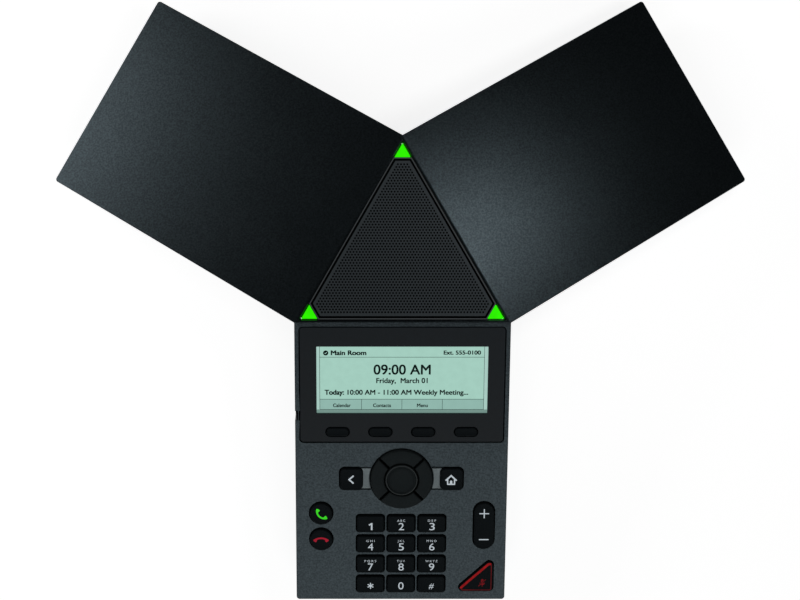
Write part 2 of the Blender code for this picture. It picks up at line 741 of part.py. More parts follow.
# Display and keypad stack of the front arm


def make_window(keys):
    plate = prism(window_outline(0.0), -WINDOW_THICKNESS, 0.0)
    window = make("display_window", plate, "window_gloss", on_panel(0, WINDOW_MIDDLE))
    cut_key_holes(window, keys, only="softkey")


def make_display():
    frame = on_panel(0, LCD_CENTRE_DOWN)
    high = -WINDOW_THICKNESS - GAP
    make("lcd_panel", prism(rectangle(*LCD_SIZE), high - LCD_THICKNESS, high), "lcd_glass", frame)
    tray_low, tray_high = -LCD_TRAY_BOTTOM, -FLANGE_TOP
    floor = high - LCD_THICKNESS - GAP
    outer, inner = rectangle(*LCD_TRAY_SIZE), rectangle(*LCD_OPENING)
    rings = [raised(outer, tray_low), raised(outer, tray_high), raised(inner, tray_high)]
    rings.append(raised(inner, floor))
    make("lcd_backlight_tray", loft(rings), "frame_white", frame)


def keypad_outline():
    """The board's outline, with one front corner left free for the microphone."""
    half, start, end = BOARD_HALF_WIDTH, -BOARD_START_DOWN, -BOARD_END_DOWN
    notch_across, notch_down = BOARD_NOTCH
    return [
        (notch_across, end),
        (half, end),
        (half, start),
        (-half, start),
        (-half, -notch_down),
        (notch_across, -notch_down),
    ]


def make_keypad_stack():
    layers = (
        ("keypad_membrane", MEMBRANE_TOP, MEMBRANE_THICKNESS, "silicone"),
        ("keypad_board", KEYPAD_BOARD_TOP, KEYPAD_BOARD_THICKNESS, "board_green"),
    )
    for name, top, thickness, finish in layers:
        layer = make(name, prism(keypad_outline(), -top - thickness, -top), finish, FRONT_PANEL)
        for place in screw_places()[:2]:
            cut(layer, prism(circle(BOARD_HOLE_RADIUS), 0.0, HUB_TOP), place)
    add_tail(bpy.data.objects["keypad_board"])


def make_trim():
    for side, name in ((-1, "trim_left"), (1, "trim_right")):
        piece = prism(trim_outline(side, 0.0), -TRIM_THICKNESS, 0.0)
        trim = make(name, piece, "trim_grey", on_panel(0, NAV_DOWN))
        hole = rounded_rectangle(SIDE_KEY_SIZE, SIDE_KEY_CORNER, KEY_GAP)
        beside = on_panel(side * SIDE_KEY_ACROSS, NAV_DOWN)
        cut(trim, prism(hole, -WALL, WALL), beside)


def add_tail(board):
    """The keypad board's flexible tail, which runs down to the front edge of the main board."""
    depth = KEYPAD_BOARD_TOP + KEYPAD_BOARD_THICKNESS - MERGE + TAIL_THICKNESS / 2
    a = FRONT_PANEL @ Vector((0, -TAIL_START_DOWN, -depth))
    b = a + FRONT_PANEL.to_3x3() @ Vector((0, TAIL_PULL, 0))
    d = Vector((0, HUB_Y + TAIL_END, BOARD_HIGH + GAP + TAIL_THICKNESS / 2))
    c = d - Vector((0, TAIL_PULL, 0))
    side = Vector((TAIL_WIDTH / 2, 0, 0))
    rings = []
    for i in range(TAIL_STEPS + 1):
        t = i / TAIL_STEPS
        point = a * (1 - t) ** 3 + b * 3 * t * (1 - t) ** 2 + c * 3 * t * t * (1 - t) + d * t**3
        tangent = (b - a) * (1 - t) ** 2 + (c - b) * 2 * t * (1 - t) + (d - c) * t * t
        out = side.cross(tangent).normalized() * TAIL_THICKNESS / 2
        rings.append([point - side - out, point + side - out, point + side + out, point - side + out])
    add(board, loft(rings))


def make_main_board():
    low = (-BOARD_SIDE, HUB_Y + BOARD_FRONT, BOARD_LOW)
    high = (BOARD_SIDE, HUB_Y + BAY_BACK - BAY_WALL - 2 * GAP, BOARD_HIGH)
    make("main_board", box(low, high), "board_green")


def make_microphones():
    for name, degrees in ARM_DIRECTIONS.items():
        capsule = prism(circle(MIC_RADIUS, 16), -GAP - MIC_LENGTH, -GAP)
        make(f"mic_{name}", capsule, "socket_metal", mic_frame(degrees), smooth=True)


def main():
    clear_scene()
    keys = key_outlines()
    make_top_housing(keys)
    make_bottom_housing()
    make_feet()
    make_screws()
    make_grille()
    make_leds()
    make_loudspeaker()
    make_window(keys)
    make_display()
    make_keypad_stack()
    make_trim()
    make_main_board()
    make_microphones()
    for name in SOCKETS:
        make_socket(name)
    for name, (frame, outline, rise) in keys.items():
        make_key(name, frame, outline, rise)


main()
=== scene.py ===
"""Looks of the three-arm conference speakerphone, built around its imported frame."""

import math

import bmesh
import bpy
from mathutils import Matrix, Vector, geometry


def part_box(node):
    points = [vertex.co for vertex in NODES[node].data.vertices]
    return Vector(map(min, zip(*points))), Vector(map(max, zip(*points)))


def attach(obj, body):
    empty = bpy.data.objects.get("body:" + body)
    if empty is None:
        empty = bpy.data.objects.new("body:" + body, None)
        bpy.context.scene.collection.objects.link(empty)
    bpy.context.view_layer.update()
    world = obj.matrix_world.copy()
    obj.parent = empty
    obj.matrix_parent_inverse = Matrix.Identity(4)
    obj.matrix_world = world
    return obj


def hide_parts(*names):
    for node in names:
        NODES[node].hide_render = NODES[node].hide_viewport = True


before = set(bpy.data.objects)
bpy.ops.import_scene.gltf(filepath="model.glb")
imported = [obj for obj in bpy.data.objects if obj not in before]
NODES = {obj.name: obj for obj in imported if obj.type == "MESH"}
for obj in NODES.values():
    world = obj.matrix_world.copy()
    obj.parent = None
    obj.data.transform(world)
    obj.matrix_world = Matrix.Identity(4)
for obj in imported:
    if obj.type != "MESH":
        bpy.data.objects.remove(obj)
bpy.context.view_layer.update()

MM = 0.001
GAP = 0.3 * MM

# The body's driving sizes, as in the solids
ARM_WIDTH = 102.14 * MM
ARM_LENGTH = 137.33 * MM
ARM_DROP = 37.0 * MM
SLOPE = math.atan(ARM_DROP / ARM_LENGTH)
WALL = 3.0 * MM
SKIRT = 12.0 * MM
CORNER_RADIUS = 1.5 * MM
HUB_INRADIUS = ARM_WIDTH / (2 * math.sqrt(3))
REACH = HUB_INRADIUS + ARM_LENGTH
FLANGE_OVERHANG = 0.65 * MM
FLANGE_THICKNESS = 0.8 * MM
KEY_GAP = 0.35 * MM
ARM_ANGLES = {"front": -90, "right": 30, "left": 150}
VERTEX_ANGLES = {"rear": 90, "left": 210, "right": 330}

# Places read from the frame
GRILLE_LOW, GRILLE_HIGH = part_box("speaker_grille")
HUB_TOP = GRILLE_HIGH.z
CUP_LOW, CUP_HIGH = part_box("speaker_enclosure")
HUB_Y = (CUP_LOW.y + CUP_HIGH.y) / 2
HUB = Matrix.Translation((0, HUB_Y, 0))
PANEL = Matrix.Translation((0, HUB_Y - HUB_INRADIUS, HUB_TOP)) @ Matrix.Rotation(SLOPE, 4, "X")


def panel_box(node):
    """Lowest and highest corner of a node, measured square to the front arm's slope."""
    inverse = PANEL.inverted()
    points = [inverse @ v.co for v in NODES[node].data.vertices]
    low = Vector(min(p[i] for p in points) for i in range(3))
    high = Vector(max(p[i] for p in points) for i in range(3))
    return low, high


# ---------------------------------------------------------------- materials


def new_material(name):
    material = bpy.data.materials.new(name)
    material.use_nodes = True
    tree = material.node_tree
    return material, tree, tree.nodes["Principled BSDF"]


def add_node(tree, kind, inputs=None, **settings):
    node = tree.nodes.new(kind)
    for key, value in settings.items():
        setattr(node, key, value)
    for key, value in (inputs or {}).items():
        node.inputs[key].default_value = value
    return node


def noise_of(tree, scale, detail=2.0, roughness=0.5):
    """Noise in the object's own metres, so that scale is in features per metre."""
    place = add_node(tree, "ShaderNodeTexCoord")
    noise = add_node(
        tree, "ShaderNodeTexNoise", {"Scale": scale, "Detail": detail, "Roughness": roughness}
    )
    tree.links.new(place.outputs["Object"], noise.inputs["Vector"])
    return noise.outputs["Fac"]


def ramp_of(tree, source, stops):
    ramp = add_node(tree, "ShaderNodeValToRGB")
    elements = ramp.color_ramp.elements
    while len(elements) < len(stops):
        elements.new(0.5)
    for element, (position, colour) in zip(elements, stops):
        element.position = position
        element.color = (*colour, 1.0) if len(colour) == 3 else colour
    tree.links.new(source, ramp.inputs["Fac"])
    return ramp.outputs["Color"]


def range_of(tree, source, low, high, from_low=0.0, from_high=1.0):
    scale = add_node(
        tree,
        "ShaderNodeMapRange",
        {"From Min": from_low, "From Max": from_high, "To Min": low, "To Max": high},
    )
    tree.links.new(source, scale.inputs["Value"])
    return scale.outputs["Result"]


def bump_of(tree, shader, source, distance, strength=1.0):
    bump = add_node(tree, "ShaderNodeBump", {"Distance": distance, "Strength": strength})
    tree.links.new(source, bump.inputs["Height"])
    tree.links.new(bump.outputs["Normal"], shader.inputs["Normal"])
    return bump


COOL = (0.70, 0.90, 1.0)  # tint of the sheen on the dark plastics


def grained_plastic(name, dark, light, roughness, grain, specular=0.5, glint=0.0, bump=0.00003):
    """Moulded plastic: two tones of fine grain, a glint that varies by grain, and a fine bump."""
    material, tree, shader = new_material(name)
    fine = noise_of(tree, grain, 3.0, 0.6)
    tree.links.new(ramp_of(tree, fine, [(0.36, dark), (0.64, light)]), shader.inputs["Base Color"])
    broad = noise_of(tree, 35.0, 3.0, 0.6)
    tree.links.new(
        range_of(tree, broad, roughness - 0.03, roughness + 0.03), shader.inputs["Roughness"]
    )
    sparkle = noise_of(tree, grain * 0.8, 1.0, 0.5)
    low, high = specular * (1 - glint), specular * (1 + glint)
    tree.links.new(
        range_of(tree, sparkle, low, high, 0.33, 0.67), shader.inputs["Specular IOR Level"]
    )
    shader.inputs["Specular Tint"].default_value = (*COOL, 1.0)
    bump_of(tree, shader, fine, bump)
    return material


def smooth_finish(name, colour, roughness, metallic=0.0, specular=0.5, grain=900.0, bump=0.00001):
    """A plain finish with slight wear: roughness and height vary a little."""
    material, tree, shader = new_material(name)
    shader.inputs["Metallic"].default_value = metallic
    shader.inputs["Specular IOR Level"].default_value = specular
    fine = noise_of(tree, grain, 3.0, 0.55)
    darker = [c * 0.82 for c in colour]
    tree.links.new(ramp_of(tree, fine, [(0.3, darker), (0.7, colour)]), shader.inputs["Base Color"])
    low, high = max(0.02, roughness - 0.06), roughness + 0.06
    tree.links.new(range_of(tree, fine, low, high), shader.inputs["Roughness"])
    bump_of(tree, shader, fine, bump)
    return material


def glowing(name, colour, strength, variation=0.1):
    """A surface that glows: dark by itself, its glow slightly uneven. On the status lights and the display
    the glow is their own light; on the key legends and icons it is painted light.
    """
    material, tree, shader = new_material(name)
    soft = noise_of(tree, 260.0, 2.0, 0.5)
    tone = ramp_of(tree, soft, [(0.35, [c * (1 - variation) for c in colour]), (0.65, colour)])
    own = ramp_of(tree, soft, [(0.35, [c * 0.2 for c in colour]), (0.65, [c * 0.25 for c in colour])])
    tree.links.new(own, shader.inputs["Base Color"])
    tree.links.new(tone, shader.inputs["Emission Color"])
    shader.inputs["Emission Strength"].default_value = strength
    shader.inputs["Roughness"].default_value = 0.45
    shader.inputs["Specular IOR Level"].default_value = 0.1
    return material


def brushed_metal(name, colour, roughness):
    material, tree, shader = new_material(name)
    shader.inputs["Metallic"].default_value = 1.0
    place = add_node(tree, "ShaderNodeTexCoord")
    stretch = add_node(tree, "ShaderNodeMapping", {"Scale": (300.0, 6000.0, 6000.0)})
    grain = add_node(tree, "ShaderNodeTexNoise", {"Scale": 1.0, "Detail": 2.0})
    tree.links.new(place.outputs["Object"], stretch.inputs["Vector"])
    tree.links.new(stretch.outputs["Vector"], grain.inputs["Vector"])
    source = grain.outputs["Fac"]
    darker = [c * 0.8 for c in colour]
    tree.links.new(ramp_of(tree, source, [(0.3, darker), (0.7, colour)]), shader.inputs["Base Color"])
    tree.links.new(range_of(tree, source, roughness - 0.08, roughness + 0.08), shader.inputs["Roughness"])
    bump_of(tree, shader, source, 0.000005)
    return material


MATERIALS = {
    "charcoal": grained_plastic(
        "charcoal", (0.0020, 0.0027, 0.0032), (0.0040, 0.0052, 0.0062), 0.30, 1500.0, 0.78, 0.24, 0.00006
    ),
    "tray": grained_plastic("tray", (0.005, 0.006, 0.007), (0.009, 0.010, 0.012), 0.5, 1100.0, 0.5),
    "key": grained_plastic("key", (0.0068, 0.0085, 0.0100), (0.0110, 0.0138, 0.0155), 0.5, 2200.0, 0.12),
    "nav_key": grained_plastic(
        "nav_key", (0.0230, 0.0290, 0.0300), (0.0330, 0.0400, 0.0410), 0.5, 2200.0, 0.12
    ),
    # A lighter grey for a thin ring on the select key's rim: a painted highlight.
    "nav_crest_highlight": smooth_finish("nav_crest_highlight", (0.090, 0.105, 0.108), 0.5, 0.0, 0.2, 1500.0),
    "window": smooth_finish("window", (0.0205, 0.0295, 0.0370), 0.3, 0.0, 0.16, 240.0, 0.0),
    "grille": smooth_finish("grille", (0.105, 0.126, 0.138), 0.5, 0.2, 0.3, 1500.0),
    # A lighter tone for the grille's rim: a painted highlight along the grille's edge.
    "grille_rim_highlight": smooth_finish("grille_rim_highlight", (0.175, 0.195, 0.205), 0.5, 0.2, 0.3, 1500.0),
    # A near-black sheet under the grille holes: painted shade for the dark inside of the hub.
    "hole_shade_sheet": smooth_finish("hole_shade_sheet", (0.0012, 0.0012, 0.0014), 0.9, 0.0, 0.0, 1500.0),
    "trim": smooth_finish("trim", (0.52, 0.63, 0.66), 0.45, 0.0, 0.4, 1500.0),
    "led": glowing("led", (0.03, 0.95, 0.0), 0.92),
    "lcd": glowing("lcd", (0.410, 0.680, 0.580), 0.85, 0.03),
    "lcd_edge": glowing("lcd_edge", (0.44, 0.67, 0.60), 0.85, 0.03),
    "lcd_shade": glowing("lcd_shade", (0.20, 0.33, 0.29), 0.85, 0.03),
    "lcd_bar": glowing("lcd_bar", (0.310, 0.525, 0.460), 0.85, 0.03),
    "lcd_ink": smooth_finish("lcd_ink", (0.006, 0.030, 0.024), 0.6, 0.0, 0.1),
    "lcd_line": smooth_finish("lcd_line", (0.05, 0.13, 0.11), 0.6, 0.0, 0.1),
    # The key legends and the call and hang-up icons are print in their own colour, made to glow: the glow is
    # painted light, as nothing lights them from within.
    "legend": glowing("legend", (0.60, 0.67, 0.72), 0.75, 0.06),
    "letters": glowing("letters", (0.60, 0.67, 0.72), 0.75, 0.06),
    "call_green": glowing("call_green", (0.05, 0.75, 0.02), 0.85, 0.1),
    "hangup_red": glowing("hangup_red", (0.40, 0.012, 0.03), 0.80, 0.15),
    "mute_red": glowing("mute_red", (0.36, 0.008, 0.010), 0.80, 0.45),
    "mute_icon": glowing("mute_icon", (0.20, 0.006, 0.010), 0.80, 0.3),
    "mute_dim": glowing("mute_dim", (0.15, 0.006, 0.008), 0.80, 0.3),
    "rubber": grained_plastic("rubber", (0.008, 0.008, 0.008), (0.014, 0.014, 0.014), 0.8, 900.0, 0.2),
    "steel": brushed_metal("steel", (0.45, 0.45, 0.46), 0.32),
    "gold": brushed_metal("gold", (0.72, 0.50, 0.20), 0.25),
    "socket_black": smooth_finish("socket_black", (0.010, 0.010, 0.011), 0.45),
    "board": smooth_finish("board", (0.015, 0.12, 0.045), 0.42, 0.0, 0.5, 500.0),
    "silicone": smooth_finish("silicone", (0.30, 0.30, 0.30), 0.65),
    "white_plastic": smooth_finish("white_plastic", (0.66, 0.66, 0.64), 0.5),
    "magnet": smooth_finish("magnet", (0.06, 0.06, 0.065), 0.55, 0.4),
    "paper": grained_plastic("paper", (0.012, 0.012, 0.012), (0.022, 0.022, 0.022), 0.85, 700.0, 0.2),
}

# ---------------------------------------------------------------- outlines and solids


def direction(degrees):
    return Vector((math.cos(math.radians(degrees)), math.sin(math.radians(degrees))))


def circle(radius, steps=64):
    turn = 2 * math.pi / steps
    return [(radius * math.cos(i * turn), radius * math.sin(i * turn)) for i in range(steps)]


def corner_normals(points):
    """Each corner of a polygon with the outward normals of the sides that meet there."""
    for before, here, after in zip(points[-1:] + points[:-1], points, points[1:] + points[:1]):
        side_in, side_out = (here - before).normalized(), (after - here).normalized()
        yield here, Vector((side_in.y, -side_in.x)), Vector((side_out.y, -side_out.x))


def grown(corners, distance):
    points = [Vector(c) for c in corners]
    return [
        here + (first + second) * distance / (1 + first.dot(second))
        for here, first, second in corner_normals(points)
    ]


def rounded(corners, radius, steps=10):
    points = [Vector(c) for c in corners]
    result = []
    for here, first, second in corner_normals(points):
        centre = here - (first + second) * radius / (1 + first.dot(second))
        turn = -first.angle_signed(second)
        for i in range(steps + 1):
            result.append(tuple(centre + Matrix.Rotation(turn * i / steps, 2) @ first * radius))
    return result


def rectangle(width, height):
    return [
        (-width / 2, -height / 2),
        (width / 2, -height / 2),
        (width / 2, height / 2),
        (-width / 2, height / 2),
    ]


def rounded_rectangle(width, height, radius, grow=0.0, steps=10):
    return rounded(grown(rectangle(width, height), grow), max(radius + grow, 0.05 * MM), steps)


def ring_quarter(outer, inner, half_gap, steps=28):
    result = []
    for radius, sweep in ((outer, 1), (inner, -1)):
        edge = math.radians(45) - math.asin(half_gap / radius)
        for i in range(steps + 1):
            angle = math.pi / 2 + sweep * edge * (2 * i / steps - 1)
            result.append((radius * math.cos(angle), radius * math.sin(angle)))
    return result


def triangle(side, grow=0.0):
    radius = side / math.sqrt(3)
    return grown([direction(d) * radius for d in VERTEX_ANGLES.values()], grow)


def raised(outline, height):
    return [(x, y, height) for x, y in outline]


def loft(rings):
    bm = bmesh.new()
    verts = [[bm.verts.new(p) for p in ring] for ring in rings]
    count = len(verts[0])
    for low, high in zip(verts, verts[1:]):
        for i in range(count):
            j = (i + 1) % count
            bm.faces.new((low[i], low[j], high[j], high[i]))
    bm.faces.new(list(reversed(verts[0])))
    bm.faces.new(verts[-1])
    return bm


def prism(outline, low, high):
    return loft([raised(outline, low), raised(outline, high)])


def piece(name, bm, material, place, body, smooth_angle=12.0):
    """A finished object that rides on a body."""
    bmesh.ops.recalc_face_normals(bm, faces=bm.faces)
    mesh = bpy.data.meshes.new(name)
    bm.to_mesh(mesh)
    bm.free()
    mesh.shade_smooth()
    mesh.set_sharp_from_angle(angle=math.radians(smooth_angle))
    mesh.materials.append(MATERIALS[material])
    obj = bpy.data.objects.new(name, mesh)
    bpy.context.scene.collection.objects.link(obj)
    obj.matrix_world = place
    if body:
        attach(obj, body)
    return obj


def combine(target, bm, operation, place):
    bmesh.ops.recalc_face_normals(bm, faces=bm.faces)
    mesh = bpy.data.meshes.new("tool")
    bm.to_mesh(mesh)
    bm.free()
    tool = bpy.data.objects.new("tool", mesh)
    bpy.context.scene.collection.objects.link(tool)
    tool.matrix_world = place
    modifier = target.modifiers.new("combine", "BOOLEAN")
    modifier.operation = operation
    modifier.solver = "EXACT"
    modifier.object = tool
    bpy.context.view_layer.update()
    evaluated = target.evaluated_get(bpy.context.evaluated_depsgraph_get())
    target.data = bpy.data.meshes.new_from_object(evaluated)
    target.modifiers.clear()
    bpy.data.objects.remove(tool, do_unlink=True)


def cut(target, bm, place):
    combine(target, bm, "DIFFERENCE", place)


def soften(obj, width, segments=3, angle=28.0):
    """Rounded edges, where faces meet at more than an angle."""
    bevel = obj.modifiers.new("edges", "BEVEL")
    bevel.width = width
    bevel.segments = segments
    bevel.limit_method = "ANGLE"
    bevel.angle_limit = math.radians(angle)
    bevel.use_clamp_overlap = False
    bevel.harden_normals = True
    return obj


def level_flats(mesh, area=12e-6):
    """Large flat faces are shaded flat, and their rounded edges stay smooth."""
    normals = [Vector(corner.vector) for corner in mesh.corner_normals]
    for polygon in mesh.polygons:
        if polygon.area > area:
            for corner in polygon.loop_indices:
                normals[corner] = polygon.normal.copy()
    mesh.normals_split_custom_set(normals)


def refinish(node, material, edge=0.0):
    """A frame node that keeps its solid, with a new material and softened edges."""
    obj = NODES[node]
    obj.data.materials.clear()
    obj.data.materials.append(MATERIALS[material])
    if edge:
        flat = obj.modifiers.new("flat", "DECIMATE")
        flat.decimate_type = "DISSOLVE"
        flat.angle_limit = math.radians(0.5)
        soften(obj, edge, 2, 35.0)
    return obj


def on_panel(across, up, height=0.0, turn=0.0):
    """Frame on the front arm: x across, y up the slope, z out of the surface."""
    spin = Matrix.Rotation(math.radians(turn), 4, "Z")
    return PANEL @ Matrix.Translation((across, up, height)) @ spin


# ---------------------------------------------------------------- top housing


def body_ring(inset, drop, steps=10):
    """The three-arm outline, moved inwards, at a depth under the top surface."""
    half, end = ARM_WIDTH / 2 - inset, REACH - inset
    ring = []
    for degrees in sorted(ARM_ANGLES.values()):
        turn = Matrix.Rotation(math.radians(degrees), 2)
        corners = [(HUB_INRADIUS, -half), (end, -half), (end, half), (HUB_INRADIUS, half)]
        arcs = rounded(corners, CORNER_RADIUS, steps)[steps + 1 : 3 * (steps + 1)]
        outline = [corners[0], *arcs, corners[3], direction(60) * half / math.sin(math.radians(60))]
        for point in outline:
            place = turn @ Vector(point)
            fall = math.tan(SLOPE) * max(0.0, point[0] - HUB_INRADIUS)
            ring.append((place.x, place.y + HUB_Y, HUB_TOP - fall - drop))
    return ring


def body_solid(sections):
    bm = bmesh.new()
    rings = [[bm.verts.new(p) for p in body_ring(inset, drop)] for inset, drop in sections]
    count = len(rings[0])
    for low, high in zip(rings, rings[1:]):
        for i in range(count):
            j = (i + 1) % count
            bm.faces.new((low[i], low[j], high[j], high[i]))
    per_arm = count // 3
    for ring, flip in ((rings[0], True), (rings[-1], False)):
        arms = [ring[a * per_arm : (a + 1) * per_arm] for a in range(3)]
        hub = [vert for arm in arms for vert in (arm[0], arm[-2], arm[-1])]
        for face in [arm[:-1] for arm in arms] + [hub]:
            bm.faces.new(list(reversed(face)) if flip else face)
    bmesh.ops.remove_doubles(bm, verts=bm.verts, dist=1e-6)
    return bm


def key_shapes():
    """name: (place of the key's middle on the panel, outline by growth, top height, turn)."""
    shapes = {}
    for name in list(NODES):
        if not (name.startswith(("key_", "softkey", "nav", "volume"))):
            continue
        if name in ("key_mute",) or name.startswith("nav"):
            continue
        low, high = panel_box(name)
        width = high.x - low.x - 2 * FLANGE_OVERHANG
        height = high.y - low.y - 2 * FLANGE_OVERHANG
        radius = {"softkey": 2.1, "key_cal": 5.45, "key_han": 5.45, "volume_": 4.8}.get(name[:7])
        if radius is None:
            radius = 2.2 if name in ("key_back", "key_home") else 1.3
        middle = (low + high) / 2
        outline = lambda grow, w=width, h=height, r=radius: rounded_rectangle(
            w, h, min(r * MM, min(w, h) / 2 - 1e-5), grow
        )
        shapes[name] = (middle, outline, high.z, low.z, 0.0)
    return shapes


NAV_OUTER, NAV_INNER, NAV_HALF_GAP, SELECT_RADIUS = (14.85 * MM, 8.4 * MM, 0.55 * MM, 7.8 * MM)
NAV_UP = (panel_box("nav_select")[0] + panel_box("nav_select")[1]).y / 2
KEYS = key_shapes()
MUTE_LOW, MUTE_HIGH = panel_box("key_mute")


def mute_corners():
    """The mute key's right triangle, before rounding: the box's corners, drawn out to points."""
    return [(26.0 * MM, -137.45 * MM), (45.05 * MM, -137.45 * MM), (45.05 * MM, -119.6 * MM)]


def mute_outline(grow):
    corners = [Vector(c) for c in mute_corners()]
    return rounded(grown(corners, grow), max(1.8 * MM + grow, 0.05 * MM), 10)


def build_top_housing():
    shell = body_solid([(0.0, SKIRT), (0.0, 0.0)])
    housing = piece("housing_shell", shell, "charcoal", Matrix.Identity(4), None)
    cut(housing, body_solid([(WALL, 2 * SKIRT), (WALL, WALL)]), Matrix.Identity(4))
    above, below = 6.0 * MM, -6.0 * MM
    recess = [direction(d) * (HUB_INRADIUS - 1.2 * MM) * 2 for d in VERTEX_ANGLES.values()]
    cut(housing, prism(recess, HUB_TOP - 1.1 * MM, HUB_TOP + above), HUB)
    cut(housing, prism(circle(25 * MM, 96), HUB_TOP + below, HUB_TOP), HUB)
    for name in VERTEX_ANGLES:
        low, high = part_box(f"led_lens_{name}")
        middle_y = low.y + (high.y - low.y) / 3
        place = Matrix.Translation(((low.x + high.x) / 2, middle_y, 0))
        side = high.x - low.x
        cut(housing, prism(triangle(side, 0.35 * MM), HUB_TOP + below, HUB_TOP), place)
    low, high = panel_box("display_window")
    middle = (low + high) / 2
    size = high - low
    window = rounded_rectangle(size.x, size.y, 1.5 * MM, GAP)
    cut(housing, prism(window, low.z - GAP, above), on_panel(middle.x, middle.y))
    low, high = panel_box("lcd_panel")
    middle, size = (low + high) / 2, high - low
    opening = rectangle(size.x + 0.6 * MM, size.y + 0.6 * MM)
    cut(housing, prism(opening, below, above), on_panel(middle.x, middle.y))
    cut(housing, prism(circle(NAV_OUTER + KEY_GAP, 96), below, above), on_panel(0, NAV_UP))
    for name, (middle, outline, _, _, _) in KEYS.items():
        cut(housing, prism(outline(KEY_GAP), below, above), on_panel(middle.x, middle.y))
    cut(housing, prism(mute_outline(KEY_GAP), below, above), on_panel(0, 0))
    for name in ("trim_left", "trim_right"):
        low, high = panel_box(name)
        beside, over = GAP, 0.5 * MM
        box = [(low.x - beside, low.y - over), (high.x + beside, low.y - over)]
        box += [(high.x + beside, high.y + over), (low.x - beside, high.y + over)]
        cut(housing, prism(box, low.z - GAP, above), on_panel(0, 0))
    notch = rectangle(4.2 * MM, 4.4 * MM)
    cut(housing, prism(notch, -9.0 * MM, above), on_panel(-ARM_WIDTH / 2, -46.4 * MM))
    out = Matrix.Rotation(math.radians(90), 4, "Y")
    for degrees in ARM_ANGLES.values():
        arm = HUB @ Matrix.Rotation(math.radians(degrees), 4, "Z")
        mic = arm @ Matrix.Translation((REACH - WALL, -34 * MM, 21.3 * MM)) @ out
        cut(housing, prism(circle(0.7 * MM, 24), -WALL, 2 * WALL), mic)
    housing.data.shade_smooth()
    housing.data.set_sharp_from_angle(angle=math.radians(12))
    soften(housing, 0.3 * MM, 3, 28.0)
    bpy.context.view_layer.update()
    evaluated = housing.evaluated_get(bpy.context.evaluated_depsgraph_get())
    housing.data = bpy.data.meshes.new_from_object(evaluated)
    housing.modifiers.clear()
    for vertex in housing.data.vertices:
        vertex.co.z = min(vertex.co.z, HUB_TOP)
    level_flats(housing.data)
    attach(housing, "root")
    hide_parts("top_housing")
    return housing


# ---------------------------------------------------------------- grille and status lights


def grille_outline(inset):
    """The grille's triangle, cut off short of the three status lights."""
    inradius = HUB_INRADIUS - 1.6 * MM - inset
    led_base = 50.85 * MM - 7.4 * MM / (2 * math.sqrt(3)) - 0.4 * MM - inset
    half = (inradius - led_base / 2) / math.sin(math.radians(60))
    outline = []
    for degrees in VERTEX_ANGLES.values():
        along = direction(degrees)
        across = Vector((-along.y, along.x))
        outline += [along * led_base - across * half, along * led_base + across * half]
    return outline


def inside(point, outline, margin):
    """Whether a point lies inside a convex outline by at least a margin."""
    return all(
        (b - a).normalized().cross(point - a) > margin for a, b in zip(outline, outline[1:] + outline[:1])
    )


def build_grille():
    """Perforated plate in a thin rim: a hexagonal pattern of round holes over a near-black sheet. The rim's
    lighter tone is a painted highlight of the edge, and the sheet is painted shade for the dark inside of the
    hub.
    """
    low, high = GRILLE_LOW.z, GRILLE_HIGH.z
    outer, inner = grille_outline(0.0), grille_outline(0.55 * MM)
    rim = bmesh.new()
    rings = [
        [rim.verts.new((p.x, p.y, z)) for p in outline]
        for outline, z in ((outer, low), (outer, high), (inner, high), (inner, low))
    ]
    for ring, following in zip(rings, rings[1:] + rings[:1]):
        for i in range(6):
            k = (i + 1) % 6
            rim.faces.new((ring[i], ring[k], following[k], following[i]))
    # The rim in a lighter material is a painted highlight of the grille's edge.
    piece("grille_rim_highlight", rim, "grille_rim_highlight", HUB, "root", 35.0)
    # A near-black sheet under the holes: painted shade for the dark inside of the hub.
    hole_shade_sheet = prism([tuple(p) for p in grille_outline(0.56 * MM)], low - 0.2 * MM, low - 0.05 * MM)
    piece("grille_hole_shade_sheet", hole_shade_sheet, "hole_shade_sheet", HUB, "root")

    pitch, row_pitch, radius, sides = 1.49 * MM, 1.29 * MM, 0.49 * MM, 10
    outline = grille_outline(1.55 * MM)
    rows = int(60 * MM / row_pitch)
    spots = [
        Vector(((column + 0.5 * (row % 2)) * pitch, row * row_pitch))
        for row in range(-rows, rows + 1)
        for column in range(-45, 46)
    ]
    spots = [spot for spot in spots if inside(spot, outline, radius + 0.06 * MM)]
    points = list(outline)
    edges = [(i, (i + 1) % 6) for i in range(6)]
    for spot in spots:
        start = len(points)
        points += [spot + Vector(c) for c in circle(radius, sides)]
        edges += [(start + i, start + (i + 1) % sides) for i in range(sides)]
    verts, _, faces, origins, _, _ = geometry.delaunay_2d_cdt(points, edges, [], 1, 1e-7)
    hole_of = {}
    for index, sources in enumerate(origins):
        for source in sources:
            if source >= 6:
                hole_of[index] = (source - 6) // sides
    bm = bmesh.new()
    top = [bm.verts.new((v.x, v.y, high)) for v in verts]
    bottom = [bm.verts.new((v.x, v.y, low)) for v in verts]
    below = dict(zip(top, bottom))
    for face in faces:
        holes = {hole_of.get(i) for i in face}
        if len(holes) == 1 and None not in holes:
            continue
        bm.faces.new([top[i] for i in face])
        bm.faces.new([bottom[i] for i in reversed(face)])
    for edge in [e for e in bm.edges if len(e.link_faces) == 1 and e.verts[0] in below]:
        loop = edge.link_loops[0]
        a, b = loop.vert, loop.link_loop_next.vert
        bm.faces.new((b, a, below[a], below[b]))
    bmesh.ops.delete(bm, geom=[v for v in bm.verts if not v.link_faces], context="VERTS")
    plate = piece("grille_plate", bm, "grille", HUB, "root", 35.0)
    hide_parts("speaker_grille")


def build_leds():
    for name in VERTEX_ANGLES:
        refinish(f"led_lens_{name}", "led", 0.25 * MM)


# ---------------------------------------------------------------- keys


def fillet_rings(outline, top, radius, steps=4):
    """Rings that round the upper edge of a cap."""
    rings = []
    for i in range(steps + 1):
        angle = math.pi / 2 * i / steps
        rings.append(raised(outline(-radius * (1 - math.cos(angle))), top - radius * (1 - math.sin(angle))))
    return rings


